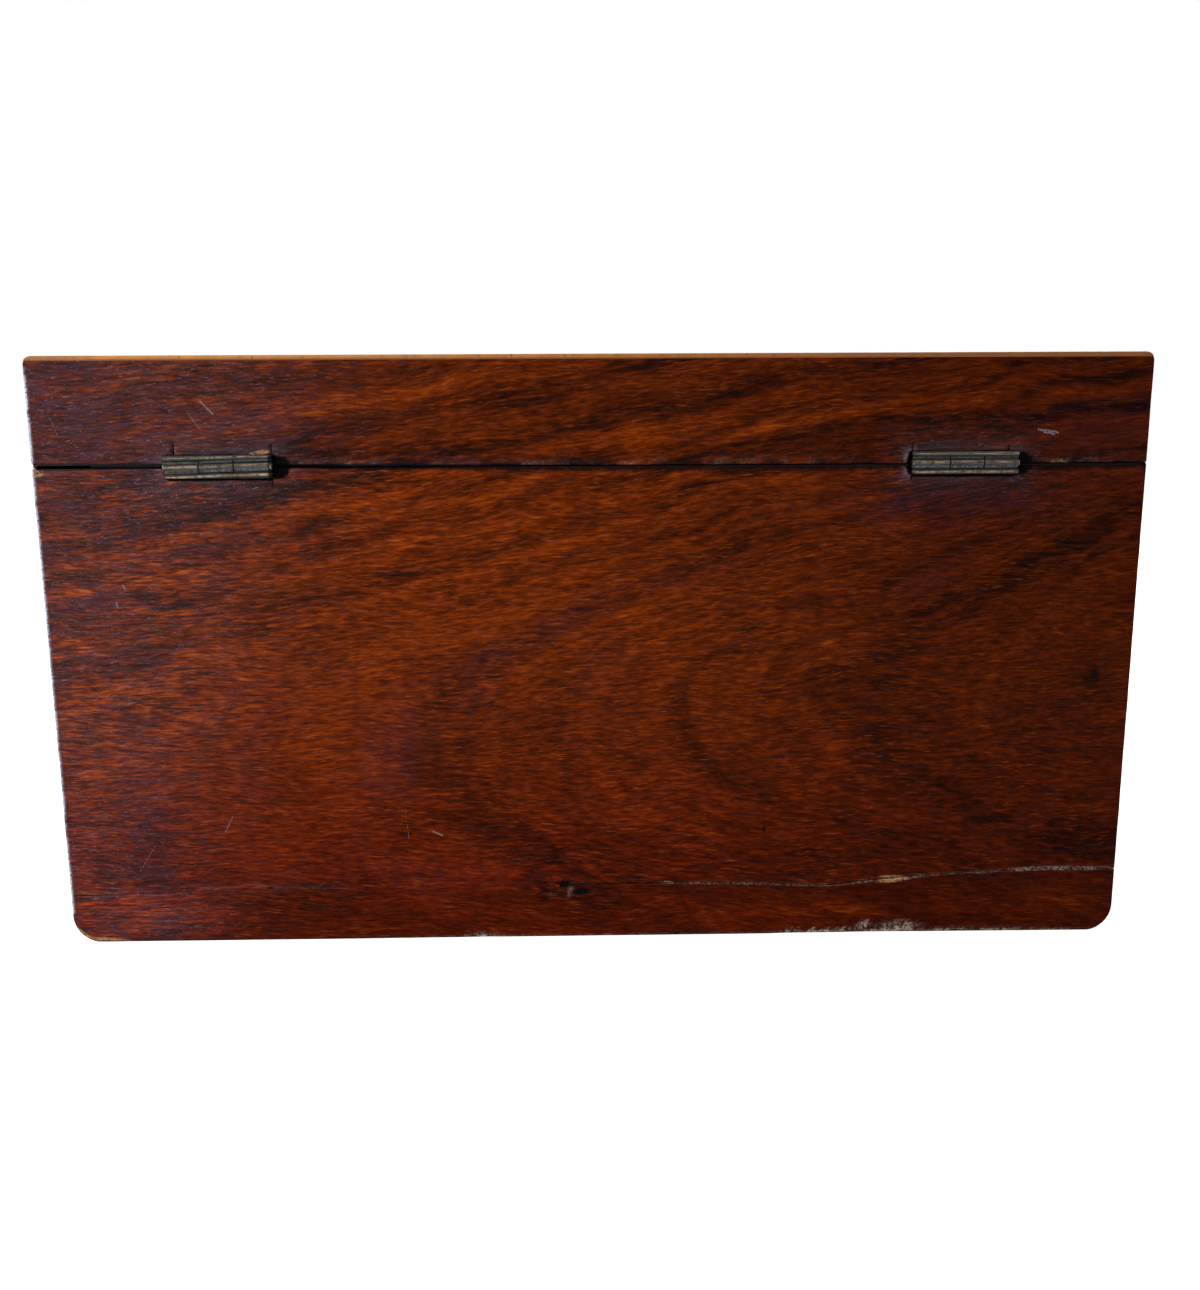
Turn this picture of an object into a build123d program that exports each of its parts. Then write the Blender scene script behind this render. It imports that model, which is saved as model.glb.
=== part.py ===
from build123d import *
import os
from math import cos, radians, sin, tan

# A late Georgian glove box: a veneered deal carcase with a shallow hinged lid,
# two cast stop hinges, a box lock with a sliding bolt, and a padded silk lining.
# Millimetres. +Z is up, the lock is at -Y, the hinges at +Y, and the origin is
# in the middle of the face that the box stands on.

# ---------------------------------------------------------------- the case
width = 265.0
depth = 160.0
body_height = 119.1
lid_height = 25.3
rim_gap = 0.8                  # daylight between the body's rim and the lid
veneer = 0.9
wall_board = 9.0
lid_rail_board = 8.4
lid_top_board_thickness = 6.0
base_board_thickness = 12.0
corner_lap = 3.0               # wood left outside an end board by the corner rebate
stringing = 1.2                # side of the square boxwood line round the lid
bottom_corner_radius = 7.0     # worn ends of the base
top_corner_radius = 2.2        # worn ends of the lid
top_arris_radius = 0.6
upright_arris_radius = 0.7

# The back veneer has split along the glue line of the base board. Each point is
# a share of the half width and the height of the split above that glue line.
split_width = 0.3
split_points = [
    (1.0, 0.5), (0.84, 1.0), (0.67, 2.0), (0.53, 1.6), (0.24, 0.8), (0.067, 0.1),
    (0.048, 2.3), (-0.25, 1.9), (-0.45, 1.0), (-0.54, 2.8), (-0.68, 4.1),
    (-0.87, 4.9), (-1.0, 4.7),
]

# ---------------------------------------------------------------- the lining
lining = 2.0                   # silk over card, on all four walls
lining_lip = 2.5               # how far the wall lining stands above the rim
lining_play = 0.3
lining_edge_radius = 0.8
floor_pad_thickness = 6.0
floor_pad_edge_radius = 2.4
lid_pad_thickness = 5.0
lid_pad_edge_radius = 2.2

# ---------------------------------------------------------------- the hinges
hinge_length = 25.4
hinge_inset = 44.1             # from the end of the case to the middle of a hinge
hinge_standoff = 1.5           # from the back of the case to the hinge axis
barrel_radius = 1.6
hinge_pin_radius = 0.7
hinge_pin_clearance = 0.05
leaf_let_in = 7.0
leaf_reach = 2.68              # from the axis to the outer face of a leaf
leaf_gap = 0.3                 # between the two leaves when the lid is shut
stop_angle = 98.0              # the flanges meet just past the lid's travel
knuckle_gap = 0.1
scoop_clearance = 0.15
saw_kerf = 0.25
kerf_depth = 0.9
recess_fit = 0.05
overcut_width = 0.35

# Knife cuts run past the hinge recesses in the veneer. Each is its hinge, its place
# as a share of half the hinge, and how far it runs below and above the leaves.
overcuts = [
    ("right", 0.83, 0.0, 3.1), ("right", -0.976, 2.1, 2.3),
    ("left", 0.97, 1.4, 2.0), ("left", -0.86, 1.0, 1.4),
]

# ---------------------------------------------------------------- the screws
screw_head_angle = 90.0
screw_rim = 0.1                # the upright edge of a head, above its cone
screw_sides = 12
screw_head_radius = 1.8
screw_shank_radius = 0.9
screw_length = 8.0
screw_slot_width = 0.5
screw_slot_depth = 0.4
screw_fit = 0.05
hinge_screw_spacing = 14.0
hinge_screw_inset = 3.6        # from the back of the case to a hinge screw
small_head_radius = 1.4
small_shank_radius = 0.7
small_screw_length = 5.5

# ---------------------------------------------------------------- the lock
lock_drop = 27.0
lock_plate_thickness = 1.3
selvedge_thickness = 1.2
selvedge_overhang = 0.3
case_length = 40.0
case_drop = 25.2
case_depth = 5.4
case_wall = 1.0
lock_screw_edge = 1.1          # from a screw's head to the case or the plate's end
lock_back_screw_drop = 16.0
bolt_middle_from_plate = 2.1   # from the lock's back plate to the bolt's middle
bolt_thickness = 1.4
bolt_travel = 5.0
bolt_bar_drop = 8.5            # from the rim to the top of the bolt's bar
bolt_bar_height = 3.8
bolt_bar_right = 6.0
finger_drop = 3.2              # from the rim to the top of the fingers
finger_height = 2.0
finger_post = 2.0
finger_length = 5.7
finger_clearance = 0.5         # from a finger's tip to its staple, unlocked
bolt_end_clearance = 1.0       # from the bolt's left end to the case, unlocked
guide_radius = 0.75
guide_clearance = 0.05
guide_place = -8.0
talon_play = 0.45              # each side of the upright bit, at mid travel
talon_depth = 2.1
spring_thickness = 0.35
spring_width = 1.2
spring_rise = 1.1
spring_left_clearance = 0.8    # from the left staple
spring_right_clearance = 1.0   # from the bolt's right post, unlocked
spring_clearance = 0.05
spring_peg_radius = 0.6
peg_length = 3.1

staple_thickness = 1.6
staple_width = 3.4
staple_bottom_wall = 0.7
staple_hole_width = 2.0
staple_hole_height = 2.6
staple_round = 0.6
staple_slot_length = 2.4
staple_slot_width = 4.2
link_plate_width = 5.2
link_plate_thickness = 1.2
link_screw_reach = 7.5         # from a staple's middle to the screw beyond it
link_plate_end = 3.5           # from that screw to the end of the plate

# ---------------------------------------------------------------- the key
key_drop = 17.0                # from the rim to the key's axis
key_rest_angle = -27.0         # the bit's lean from upright, in the talon
key_shank_radius = 2.0
key_bore_radius = 1.08
key_bore_length = 7.0
key_plate_clearance = 0.2
drill_pin_radius = 1.0
drill_pin_length = 4.6
key_bit_reach = 6.2
key_bit_thickness = 1.2
key_bit_width = 3.0
key_bit_setback = 0.3          # from the lock's back plate to the bit
key_bit_root = 1.5
key_shank_outside = 18.0
key_collar_radius = 2.9
key_collar_length = 1.6
key_collar_place = 2.0         # from the case's front to the collar
key_bow_half_height = 9.0
key_bow_half_length = 7.2
key_bow_bar = 2.5
key_bow_thickness = 2.6
key_bow_overlap = 1.2
keyhole_clearance = 0.3
keyhole_slot_width = 1.8
keyhole_reach = 6.7
escutcheon_wall = 0.9
escutcheon_thickness = 1.5

# ---------------------------------------------------------------- worked out
half_width = width / 2
half_depth = depth / 2
core_x = half_width - veneer
core_y = half_depth - veneer
wall_x = core_x - wall_board
wall_y = core_y - wall_board
rail_x = core_x - lid_rail_board
rail_y = core_y - lid_rail_board
lid_bottom = body_height + rim_gap
total_height = lid_bottom + lid_height
lid_board_top = total_height - veneer
rail_top = lid_board_top - lid_top_board_thickness
lip_top = body_height + lining_lip

axis_y = half_depth + hinge_standoff
axis_z = body_height + rim_gap / 2
leaf_inside = hinge_standoff + leaf_let_in
knuckle_length = (hinge_length - 2 * knuckle_gap) / 3
knuckle_pitch = knuckle_length + knuckle_gap
hinge_places = {"left": hinge_inset - half_width, "right": half_width - hinge_inset}
hinge_screw = (screw_head_radius, screw_shank_radius, screw_length)
small_screw = (small_head_radius, small_shank_radius, small_screw_length)

front_y = -half_depth
plate_back_y = -wall_y
plate_front_y = plate_back_y - lock_plate_thickness
case_front_y = plate_front_y - case_depth
selvedge_front_y = case_front_y - selvedge_overhang
case_bottom = body_height - case_drop
bolt_y = plate_front_y - bolt_middle_from_plate
bolt_bar_top = body_height - bolt_bar_drop
bolt_bar_bottom = bolt_bar_top - bolt_bar_height
finger_z = body_height - finger_drop - finger_height / 2
lock_screw_place = case_length / 2 + lock_screw_edge + small_head_radius
lock_half_length = lock_screw_place + small_head_radius + lock_screw_edge
bolt_left = -(case_length / 2 - case_wall) + bolt_end_clearance
finger_run = finger_post + finger_length + finger_clearance + staple_thickness / 2
staple_places = [bolt_left + finger_run, -bolt_left - finger_run]
link_screw_place = staple_places[1] + link_screw_reach
link_half_length = link_screw_place + link_plate_end
staple_bottom = finger_z - staple_hole_height / 2 - staple_bottom_wall
key_z = body_height - key_drop
key_shank_end = plate_front_y - front_y + key_shank_outside

DOWN, UP = -1, 1


# ---------------------------------------------------------------- shared forms
def upright_plane(y):
    """The plane at this depth that faces the front, with X across and Z up."""
    return Plane.XZ.offset(-y)


def hinge_section(x):
    """The plane across a hinge at x, centred on its axis, with Y across and Z up."""
    return Plane(origin=(x, axis_y, axis_z), x_dir=(0, 1, 0), z_dir=(1, 0, 0))


def panel(left, right, low, high, mode=Mode.ADD):
    """A rectangle between four limits, on the sketch being made."""
    with Locations(((left + right) / 2, (low + high) / 2)):
        Rectangle(right - left, high - low, mode=mode)


def block(x_limits, y_limits, z_limits, mode=Mode.ADD):
    """A rectangular length of wood or metal, on the part being made."""
    with BuildSketch(Plane.XY.offset(z_limits[0])) as plan:
        panel(*x_limits, *y_limits)
    extrude(plan.sketch, amount=z_limits[1] - z_limits[0], mode=mode)


def write(name, piece):
    """Labels one finished piece and writes it as a STEP file."""
    piece.part.label = name
    export_step(piece.part, f"parts/{name}.step")


# The outside of the whole box, with its worn corners: each outer piece is cut to it.
with BuildPart() as outer_form:
    with BuildSketch(Plane.XY):
        RectangleRounded(width, depth, upright_arris_radius)
    extrude(amount=total_height)
    with BuildSketch(upright_plane(half_depth)) as back_outline:
        panel(-half_width, half_width, 0, total_height)
        fillet(back_outline.vertices().group_by(Axis.Y)[0], bottom_corner_radius)
        fillet(back_outline.vertices().group_by(Axis.Y)[-1], top_corner_radius)
    extrude(amount=depth, mode=Mode.INTERSECT)
    with BuildSketch(Plane.YZ.offset(-half_width)) as end_outline:
        panel(-half_depth, half_depth, 0, total_height)
        fillet(end_outline.vertices().group_by(Axis.Y)[-1], top_arris_radius)
    extrude(amount=width, mode=Mode.INTERSECT)

# The channel that the boxwood line lies in, all round the top of the lid.
with BuildPart() as stringing_channel:
    with BuildSketch(Plane.XY.offset(total_height - stringing)):
        Rectangle(width, depth)
        Rectangle(width - 2 * stringing, depth - 2 * stringing, mode=Mode.SUBTRACT)
    extrude(amount=stringing)


def rebated_plan(thickness, side):
    """The plan of a front (-1) or back (1) board, rebated to take the end boards."""
    outer, lap, inner = core_y, core_y - corner_lap, core_y - thickness
    end = core_x - thickness
    half = [(core_x, outer), (core_x, lap), (end, lap), (end, inner)]
    points = half + [(-x, y) for x, y in reversed(half)]
    with BuildLine() as outline:
        Polyline(*[(x, side * y) for x, y in points], close=True)
    make_face(outline.edges())


def hinge_screw_planes(up):
    """Where the hinge screws' heads lie: up is -1 for the body's leaves, 1 for the lid's."""
    return [
        Plane(
            origin=(
                middle + offset,
                half_depth - hinge_screw_inset,
                axis_z + up * leaf_gap / 2,
            ),
            z_dir=(0, 0, -up),
        )
        for middle in hinge_places.values()
        for offset in (-hinge_screw_spacing / 2, hinge_screw_spacing / 2)
    ]


def selvedge_screw_planes():
    """The two screws down through the lock's selvedge."""
    middle = (selvedge_front_y + plate_back_y) / 2
    places = (-lock_screw_place, lock_screw_place)
    return [Plane(origin=(x, middle, body_height), z_dir=(0, 0, 1)) for x in places]


def lock_back_screw_planes():
    """The two screws through the lock's back plate, from inside the box."""
    height = body_height - lock_back_screw_drop
    places = (-lock_screw_place, lock_screw_place)
    return [Plane(origin=(x, plate_back_y, height), z_dir=(0, 1, 0)) for x in places]


def link_screw_planes():
    """The two screws up through the link plate into the lid."""
    places = (-link_screw_place, link_screw_place)
    return [Plane(origin=(x, bolt_y, lid_bottom), z_dir=(0, 0, -1)) for x in places]


def screw_forms(planes, head_radius, shank_radius, length, mode=Mode.ADD):
    """Countersunk screws, each with its head in its plane. Their shared few sides
    stand for the round of the head and the thread."""
    cone_width = head_radius - shank_radius
    cone_height = cone_width / tan(radians(screw_head_angle / 2))
    with BuildPart(mode=Mode.PRIVATE) as screw:
        with BuildSketch() as head:
            RegularPolygon(head_radius, screw_sides, major_radius=False)
        extrude(head.sketch, amount=-cone_height - screw_rim)
        chamfer(screw.edges().group_by(Axis.Z)[0], cone_height, cone_width)
        with BuildSketch() as shank:
            RegularPolygon(shank_radius, screw_sides, major_radius=False)
        extrude(shank.sketch, amount=-length)
    with Locations(*planes):
        add(screw.part, mode=mode)


def add_screws(planes, head_radius, shank_radius, length):
    """The screws themselves, with the slots across their heads."""
    screw_forms(planes, head_radius, shank_radius, length)
    slot_length = 2 * head_radius / cos(radians(180 / screw_sides))
    for plane in planes:
        with BuildSketch(plane) as slot:
            Rectangle(slot_length, screw_slot_width)
        extrude(slot.sketch, amount=-screw_slot_depth, mode=Mode.SUBTRACT)


def sink_screws(planes, head_radius, shank_radius, length):
    """The holes for these screws, in a plate or in the wood below it."""
    head_hole, shank_hole = head_radius + screw_fit, shank_radius + screw_fit
    screw_forms(planes, head_hole, shank_hole, length + screw_fit, Mode.SUBTRACT)


def cut_hinge_recesses(up):
    """Lets both hinges into the rim of the body (-1) or of the lid (1)."""
    for middle in hinge_places.values():
        start = middle - hinge_length / 2 - recess_fit
        with BuildSketch(hinge_section(start)) as recess:
            low, high = sorted((0, up * leaf_reach))
            panel(-leaf_inside - recess_fit, barrel_radius, low, high)
        run = hinge_length + 2 * recess_fit
        extrude(recess.sketch, amount=run, mode=Mode.SUBTRACT)


def cut_overcuts(up):
    """The knife cuts that run past the hinge recesses in the veneer."""
    for side, share, below, above in overcuts:
        run = above if up > 0 else below
        if run == 0:
            continue
        middle = hinge_places[side] + share * hinge_length / 2
        edges = (axis_z, axis_z + up * (leaf_reach + run))
        x_limits = (middle - overcut_width / 2, middle + overcut_width / 2)
        y_limits = (half_depth - veneer, half_depth)
        block(x_limits, y_limits, sorted(edges), mode=Mode.SUBTRACT)


def keyhole(extra=0.0):
    """A keyhole on a front-facing sketch, widened all round by extra."""
    slot_radius = keyhole_slot_width / 2 + extra
    slot_run = keyhole_reach - keyhole_slot_width / 2
    with Locations((0, key_z)):
        Circle(key_shank_radius + keyhole_clearance + extra)
    with Locations((0, key_z - slot_run / 2)):
        SlotCenterToCenter(slot_run, 2 * slot_radius, rotation=90)


os.makedirs("parts", exist_ok=True)

# ---------------------------------------------------------------- the carcase
with BuildPart() as base_board:
    block((-core_x, core_x), (-core_y, core_y), (0, base_board_thickness))
    add(outer_form.part, mode=Mode.INTERSECT)
write("base_board", base_board)

with BuildPart() as front_board:
    with BuildSketch(Plane.XY.offset(base_board_thickness)):
        rebated_plan(wall_board, -1)
    extrude(amount=body_height - base_board_thickness)
    # the mortise for the lock's case, and the seats of its back plate and selvedge
    with BuildSketch(upright_plane(plate_back_y)):
        reach = case_length / 2 + recess_fit
        panel(-reach, reach, case_bottom - recess_fit, body_height)
    case_cut = plate_back_y - case_front_y + recess_fit
    extrude(amount=case_cut, mode=Mode.SUBTRACT)
    plate_reach = lock_half_length + recess_fit
    with BuildSketch(upright_plane(plate_back_y)):
        plate_low = body_height - lock_drop - recess_fit
        panel(-plate_reach, plate_reach, plate_low, body_height)
    extrude(amount=lock_plate_thickness, mode=Mode.SUBTRACT)
    block(
        (-plate_reach, plate_reach),
        (selvedge_front_y - recess_fit, plate_back_y),
        (body_height - selvedge_thickness, body_height),
        mode=Mode.SUBTRACT,
    )
    sink_screws(selvedge_screw_planes(), *small_screw)
    sink_screws(lock_back_screw_planes(), *small_screw)
    # the keyhole, and the seat of its brass thread
    with BuildSketch(upright_plane(plate_front_y)):
        keyhole()
    extrude(amount=wall_board, mode=Mode.SUBTRACT)
    with BuildSketch(upright_plane(front_y + escutcheon_thickness)):
        keyhole(escutcheon_wall)
    extrude(amount=escutcheon_thickness, mode=Mode.SUBTRACT)
write("front_board", front_board)

with BuildPart() as back_board:
    with BuildSketch(Plane.XY.offset(base_board_thickness)):
        rebated_plan(wall_board, 1)
    extrude(amount=body_height - base_board_thickness)
    cut_hinge_recesses(DOWN)
    sink_screws(hinge_screw_planes(DOWN), *hinge_screw)
write("back_board", back_board)

for name, side in (("left", -1), ("right", 1)):
    end_y = core_y - corner_lap
    x_limits = sorted((side * wall_x, side * core_x))
    with BuildPart() as end_board:
        block(x_limits, (-end_y, end_y), (base_board_thickness, body_height))
    write(f"{name}_end_board", end_board)

# ---------------------------------------------------------------- its veneers
split_line = [(share * half_width, base_board_thickness + rise)
              for share, rise in split_points]

with BuildPart() as back_veneer:
    with BuildSketch(upright_plane(half_depth)):
        with BuildLine():
            upper = [(x, z + split_width / 2) for x, z in split_line]
            top = [(-half_width, body_height), (half_width, body_height)]
            Polyline(*upper, *top, close=True)
        make_face()
    extrude(amount=veneer)
    cut_hinge_recesses(DOWN)
    cut_overcuts(DOWN)
    add(outer_form.part, mode=Mode.INTERSECT)
write("back_veneer", back_veneer)

with BuildPart() as base_strip:
    with BuildSketch(upright_plane(half_depth)):
        with BuildLine():
            lower = [(x, z - split_width / 2) for x, z in split_line]
            foot = [(-half_width, 0), (half_width, 0)]
            Polyline(*lower, *foot, close=True)
        make_face()
    extrude(amount=veneer)
    add(outer_form.part, mode=Mode.INTERSECT)
write("back_veneer_base_strip", base_strip)

with BuildPart() as front_veneer:
    with BuildSketch(upright_plane(-core_y)):
        panel(-half_width, half_width, 0, body_height)
    extrude(amount=veneer)
    with BuildSketch(upright_plane(-core_y)):
        keyhole(escutcheon_wall)
    extrude(amount=veneer, mode=Mode.SUBTRACT)
    add(outer_form.part, mode=Mode.INTERSECT)
write("front_veneer", front_veneer)

for name, side in (("left", -1), ("right", 1)):
    x_limits = sorted((side * core_x, side * half_width))
    with BuildPart() as end_veneer:
        block(x_limits, (-core_y, core_y), (0, body_height))
        add(outer_form.part, mode=Mode.INTERSECT)
    write(f"{name}_end_veneer", end_veneer)

    with BuildPart() as lid_end_veneer:
        block(x_limits, (-core_y, core_y), (lid_bottom, total_height))
        add(stringing_channel.part, mode=Mode.SUBTRACT)
        add(outer_form.part, mode=Mode.INTERSECT)
    write(f"lid_{name}_veneer", lid_end_veneer)

# ---------------------------------------------------------------- the lid
with BuildPart() as lid_top_board:
    block((-core_x, core_x), (-core_y, core_y), (rail_top, lid_board_top))
    add(stringing_channel.part, mode=Mode.SUBTRACT)
    add(outer_form.part, mode=Mode.INTERSECT)
write("lid_top_board", lid_top_board)

with BuildPart() as lid_front_rail:
    with BuildSketch(Plane.XY.offset(lid_bottom)):
        rebated_plan(lid_rail_board, -1)
    extrude(amount=rail_top - lid_bottom)
    link_x = link_half_length + recess_fit
    link_y = link_plate_width / 2 + recess_fit
    block(
        (-link_x, link_x),
        (bolt_y - link_y, bolt_y + link_y),
        (lid_bottom, lid_bottom + link_plate_thickness),
        mode=Mode.SUBTRACT,
    )
    sink_screws(link_screw_planes(), *small_screw)
write("lid_front_rail", lid_front_rail)

with BuildPart() as lid_back_rail:
    with BuildSketch(Plane.XY.offset(lid_bottom)):
        rebated_plan(lid_rail_board, 1)
    extrude(amount=rail_top - lid_bottom)
    cut_hinge_recesses(UP)
    sink_screws(hinge_screw_planes(UP), *hinge_screw)
write("lid_back_rail", lid_back_rail)

for name, side in (("left", -1), ("right", 1)):
    end_y = core_y - corner_lap
    x_limits = sorted((side * rail_x, side * core_x))
    with BuildPart() as lid_end_rail:
        block(x_limits, (-end_y, end_y), (lid_bottom, rail_top))
    write(f"lid_{name}_rail", lid_end_rail)

with BuildPart() as lid_top_veneer:
    block((-core_x, core_x), (-core_y, core_y), (lid_board_top, total_height))
    add(stringing_channel.part, mode=Mode.SUBTRACT)
    add(outer_form.part, mode=Mode.INTERSECT)
write("lid_top_veneer", lid_top_veneer)

with BuildPart() as lid_front_veneer:
    with BuildSketch(upright_plane(-core_y)):
        panel(-half_width, half_width, lid_bottom, total_height)
    extrude(amount=veneer)
    add(stringing_channel.part, mode=Mode.SUBTRACT)
    add(outer_form.part, mode=Mode.INTERSECT)
write("lid_front_veneer", lid_front_veneer)

with BuildPart() as lid_back_veneer:
    with BuildSketch(upright_plane(half_depth)):
        panel(-half_width, half_width, lid_bottom, total_height)
    extrude(amount=veneer)
    cut_hinge_recesses(UP)
    cut_overcuts(UP)
    add(stringing_channel.part, mode=Mode.SUBTRACT)
    add(outer_form.part, mode=Mode.INTERSECT)
write("lid_back_veneer", lid_back_veneer)

# The boxwood line is four strips, mitred at the corners.
corners = [(-1, -1), (1, -1), (1, 1), (-1, 1)]
for place, name in enumerate(("front", "right", "back", "left")):
    first, last = corners[place], corners[(place + 1) % 4]
    inner = (half_width - stringing, half_depth - stringing)
    with BuildPart() as line:
        with BuildSketch(Plane.XY.offset(total_height - stringing)):
            with BuildLine():
                Polyline(
                    (first[0] * half_width, first[1] * half_depth),
                    (last[0] * half_width, last[1] * half_depth),
                    (last[0] * inner[0], last[1] * inner[1]),
                    (first[0] * inner[0], first[1] * inner[1]),
                    close=True,
                )
            make_face()
        extrude(amount=stringing)
        add(outer_form.part, mode=Mode.INTERSECT)
    write(f"stringing_{name}", line)


# ---------------------------------------------------------------- the lining
def write_linings(inside_x, inside_y, low, high, prefix):
    """Four covered panels round a hollow, the long ones between its end walls."""
    spans = {
        "front": ((-inside_x, inside_x), (-inside_y, -inside_y + lining)),
        "back": ((-inside_x, inside_x), (inside_y - lining, inside_y)),
        "left": ((-inside_x, -inside_x + lining), (-inside_y + lining, inside_y - lining)),
        "right": ((inside_x - lining, inside_x), (-inside_y + lining, inside_y - lining)),
    }
    for side, (x_limits, y_limits) in spans.items():
        run = Axis.X if side in ("front", "back") else Axis.Y
        free_end = Axis.Z if prefix == "" else -Axis.Z
        with BuildPart() as cloth:
            block(x_limits, y_limits, (low, high))
            end = cloth.edges().filter_by(run).group_by(free_end)[-1]
            fillet(end, lining_edge_radius)
        write(f"{prefix}{side}_lining", cloth)


write_linings(wall_x, wall_y, base_board_thickness, lip_top, "")
write_linings(rail_x, rail_y, lip_top + lining_play, rail_top, "lid_")

with BuildPart() as floor_pad:
    pad_x = wall_x - lining - lining_play
    pad_y = wall_y - lining - lining_play
    pad_top = base_board_thickness + floor_pad_thickness
    block((-pad_x, pad_x), (-pad_y, pad_y), (base_board_thickness, pad_top))
    fillet(floor_pad.edges().group_by(Axis.Z)[-1], floor_pad_edge_radius)
write("floor_pad", floor_pad)

with BuildPart() as lid_pad:
    pad_x = rail_x - lining - lining_play
    pad_y = rail_y - lining - lining_play
    block((-pad_x, pad_x), (-pad_y, pad_y), (rail_top - lid_pad_thickness, rail_top))
    fillet(lid_pad.edges().group_by(Axis.Z)[0], lid_pad_edge_radius)
write("lid_pad", lid_pad)


# ---------------------------------------------------------------- the hinges
def leaf_outline(up):
    """A leaf's section: a plate let into the rim, and a flange whose sloping
    stop face, on a plane through the axis, meets the other leaf's when open."""
    slope = tan(radians(stop_angle / 2))
    inner = leaf_gap / 2
    with BuildLine() as outline:
        Polyline(
            (-leaf_inside, up * inner),
            (inner / slope, up * inner),
            (barrel_radius, up * barrel_radius * slope),
            (barrel_radius, up * leaf_reach),
            (-leaf_inside, up * leaf_reach),
            close=True,
        )
    make_face(outline.edges())


def add_rod(start, length, radius, mode=Mode.ADD):
    """A round length along the hinge's axis, on the part being made."""
    with BuildSketch(hinge_section(start)) as section:
        Circle(radius)
    extrude(section.sketch, amount=length, mode=mode)


def add_leaf(middle, up, knuckles):
    """One leaf and the knuckles that it carries, of the three along the barrel."""
    start = middle - hinge_length / 2
    with BuildSketch(hinge_section(start)) as leaf:
        leaf_outline(up)
    extrude(leaf.sketch, amount=hinge_length)
    for place in {0, 1, 2} - knuckles:
        left = start + place * knuckle_pitch - knuckle_gap
        add_rod(left, knuckle_length + 2 * knuckle_gap,
                barrel_radius + scoop_clearance, Mode.SUBTRACT)
    for place in knuckles:
        add_rod(start + place * knuckle_pitch, knuckle_length, barrel_radius)
    pin_hole_radius = hinge_pin_radius + hinge_pin_clearance
    add_rod(start, hinge_length, pin_hole_radius, Mode.SUBTRACT)
    near = [plane for plane in hinge_screw_planes(up)
            if abs(plane.origin.X - middle) < hinge_length / 2]
    sink_screws(near, *hinge_screw)


for name, middle in hinge_places.items():
    with BuildPart() as body_leaf:
        add_leaf(middle, DOWN, {0, 2})
    write(f"hinge_{name}_body_leaf", body_leaf)

    # The saw that parted the knuckles ran on into the lid leaf's flange.
    with BuildPart() as lid_leaf:
        add_leaf(middle, UP, {1})
        for place in (1, 2):
            edge = middle - hinge_length / 2 + place * knuckle_pitch - knuckle_gap / 2
            block(
                (edge - saw_kerf / 2, edge + saw_kerf / 2),
                (axis_y + barrel_radius - kerf_depth, axis_y + barrel_radius),
                (axis_z + leaf_gap / 2, axis_z + leaf_reach),
                mode=Mode.SUBTRACT,
            )
    write(f"hinge_{name}_lid_leaf", lid_leaf)

    with BuildPart() as hinge_pin:
        add_rod(middle - hinge_length / 2, hinge_length, hinge_pin_radius)
    write(f"hinge_{name}_pin", hinge_pin)

for name, up in (("body", DOWN), ("lid", UP)):
    with BuildPart() as hinge_screws:
        add_screws(hinge_screw_planes(up), *hinge_screw)
    write(f"{name}_hinge_screws", hinge_screws)

# ---------------------------------------------------------------- the lock
with BuildPart() as lock_plate:
    with BuildSketch(upright_plane(plate_back_y)):
        panel(-lock_half_length, lock_half_length, body_height - lock_drop, body_height)
    extrude(amount=lock_plate_thickness)
    block(
        (-lock_half_length, lock_half_length),
        (selvedge_front_y, plate_back_y),
        (body_height - selvedge_thickness, body_height),
    )
    with BuildSketch(Plane.XY.offset(body_height)):
        with Locations(*[(x, bolt_y) for x in staple_places]):
            Rectangle(staple_slot_length, staple_slot_width)
    extrude(amount=-selvedge_thickness, mode=Mode.SUBTRACT)
    sink_screws(selvedge_screw_planes(), *small_screw)
    sink_screws(lock_back_screw_planes(), *small_screw)
write("lock_plate", lock_plate)

with BuildPart() as lock_case:
    case_top = body_height - selvedge_thickness
    inside = case_length / 2 - case_wall
    with BuildSketch(upright_plane(plate_front_y)):
        panel(-case_length / 2, case_length / 2, case_bottom, case_top)
    extrude(amount=case_depth)
    with BuildSketch(upright_plane(plate_front_y)):
        panel(-inside, inside, case_bottom + case_wall, case_top)
    extrude(amount=case_depth - case_wall, mode=Mode.SUBTRACT)
    with BuildSketch(upright_plane(plate_front_y)):
        keyhole()
    extrude(amount=case_depth, mode=Mode.SUBTRACT)
write("lock_case", lock_case)

with BuildPart() as lock_screws:
    add_screws(selvedge_screw_planes() + lock_back_screw_planes(), *small_screw)
write("lock_screws", lock_screws)

with BuildPart() as drill_pin:
    with BuildSketch(upright_plane(plate_front_y)):
        with Locations((0, key_z)):
            Circle(drill_pin_radius)
    extrude(amount=drill_pin_length)
write("lock_drill_pin", drill_pin)

# The bolt runs on a stump, and a bowed spring under a peg keeps it from rattling.
guide_z = (bolt_bar_top + bolt_bar_bottom) / 2
finger_low = finger_z - finger_height / 2
finger_high = finger_z + finger_height / 2
finger_tips = [place - staple_thickness / 2 - finger_clearance for place in staple_places]
post_lefts = [tip - finger_length - finger_post for tip in finger_tips]
spring_left = staple_places[0] + staple_thickness / 2 + spring_left_clearance
spring_right = post_lefts[1] - spring_right_clearance
spring_low = bolt_bar_top + spring_clearance
spring_middle = (spring_left + spring_right) / 2
crown = spring_low + spring_rise + spring_thickness
with BuildPart() as lock_pegs:
    with BuildSketch(upright_plane(plate_front_y)):
        with Locations((guide_place, guide_z)):
            Circle(guide_radius)
        with Locations((spring_middle, crown + spring_clearance + spring_peg_radius)):
            Circle(spring_peg_radius)
    extrude(amount=peg_length)
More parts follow.
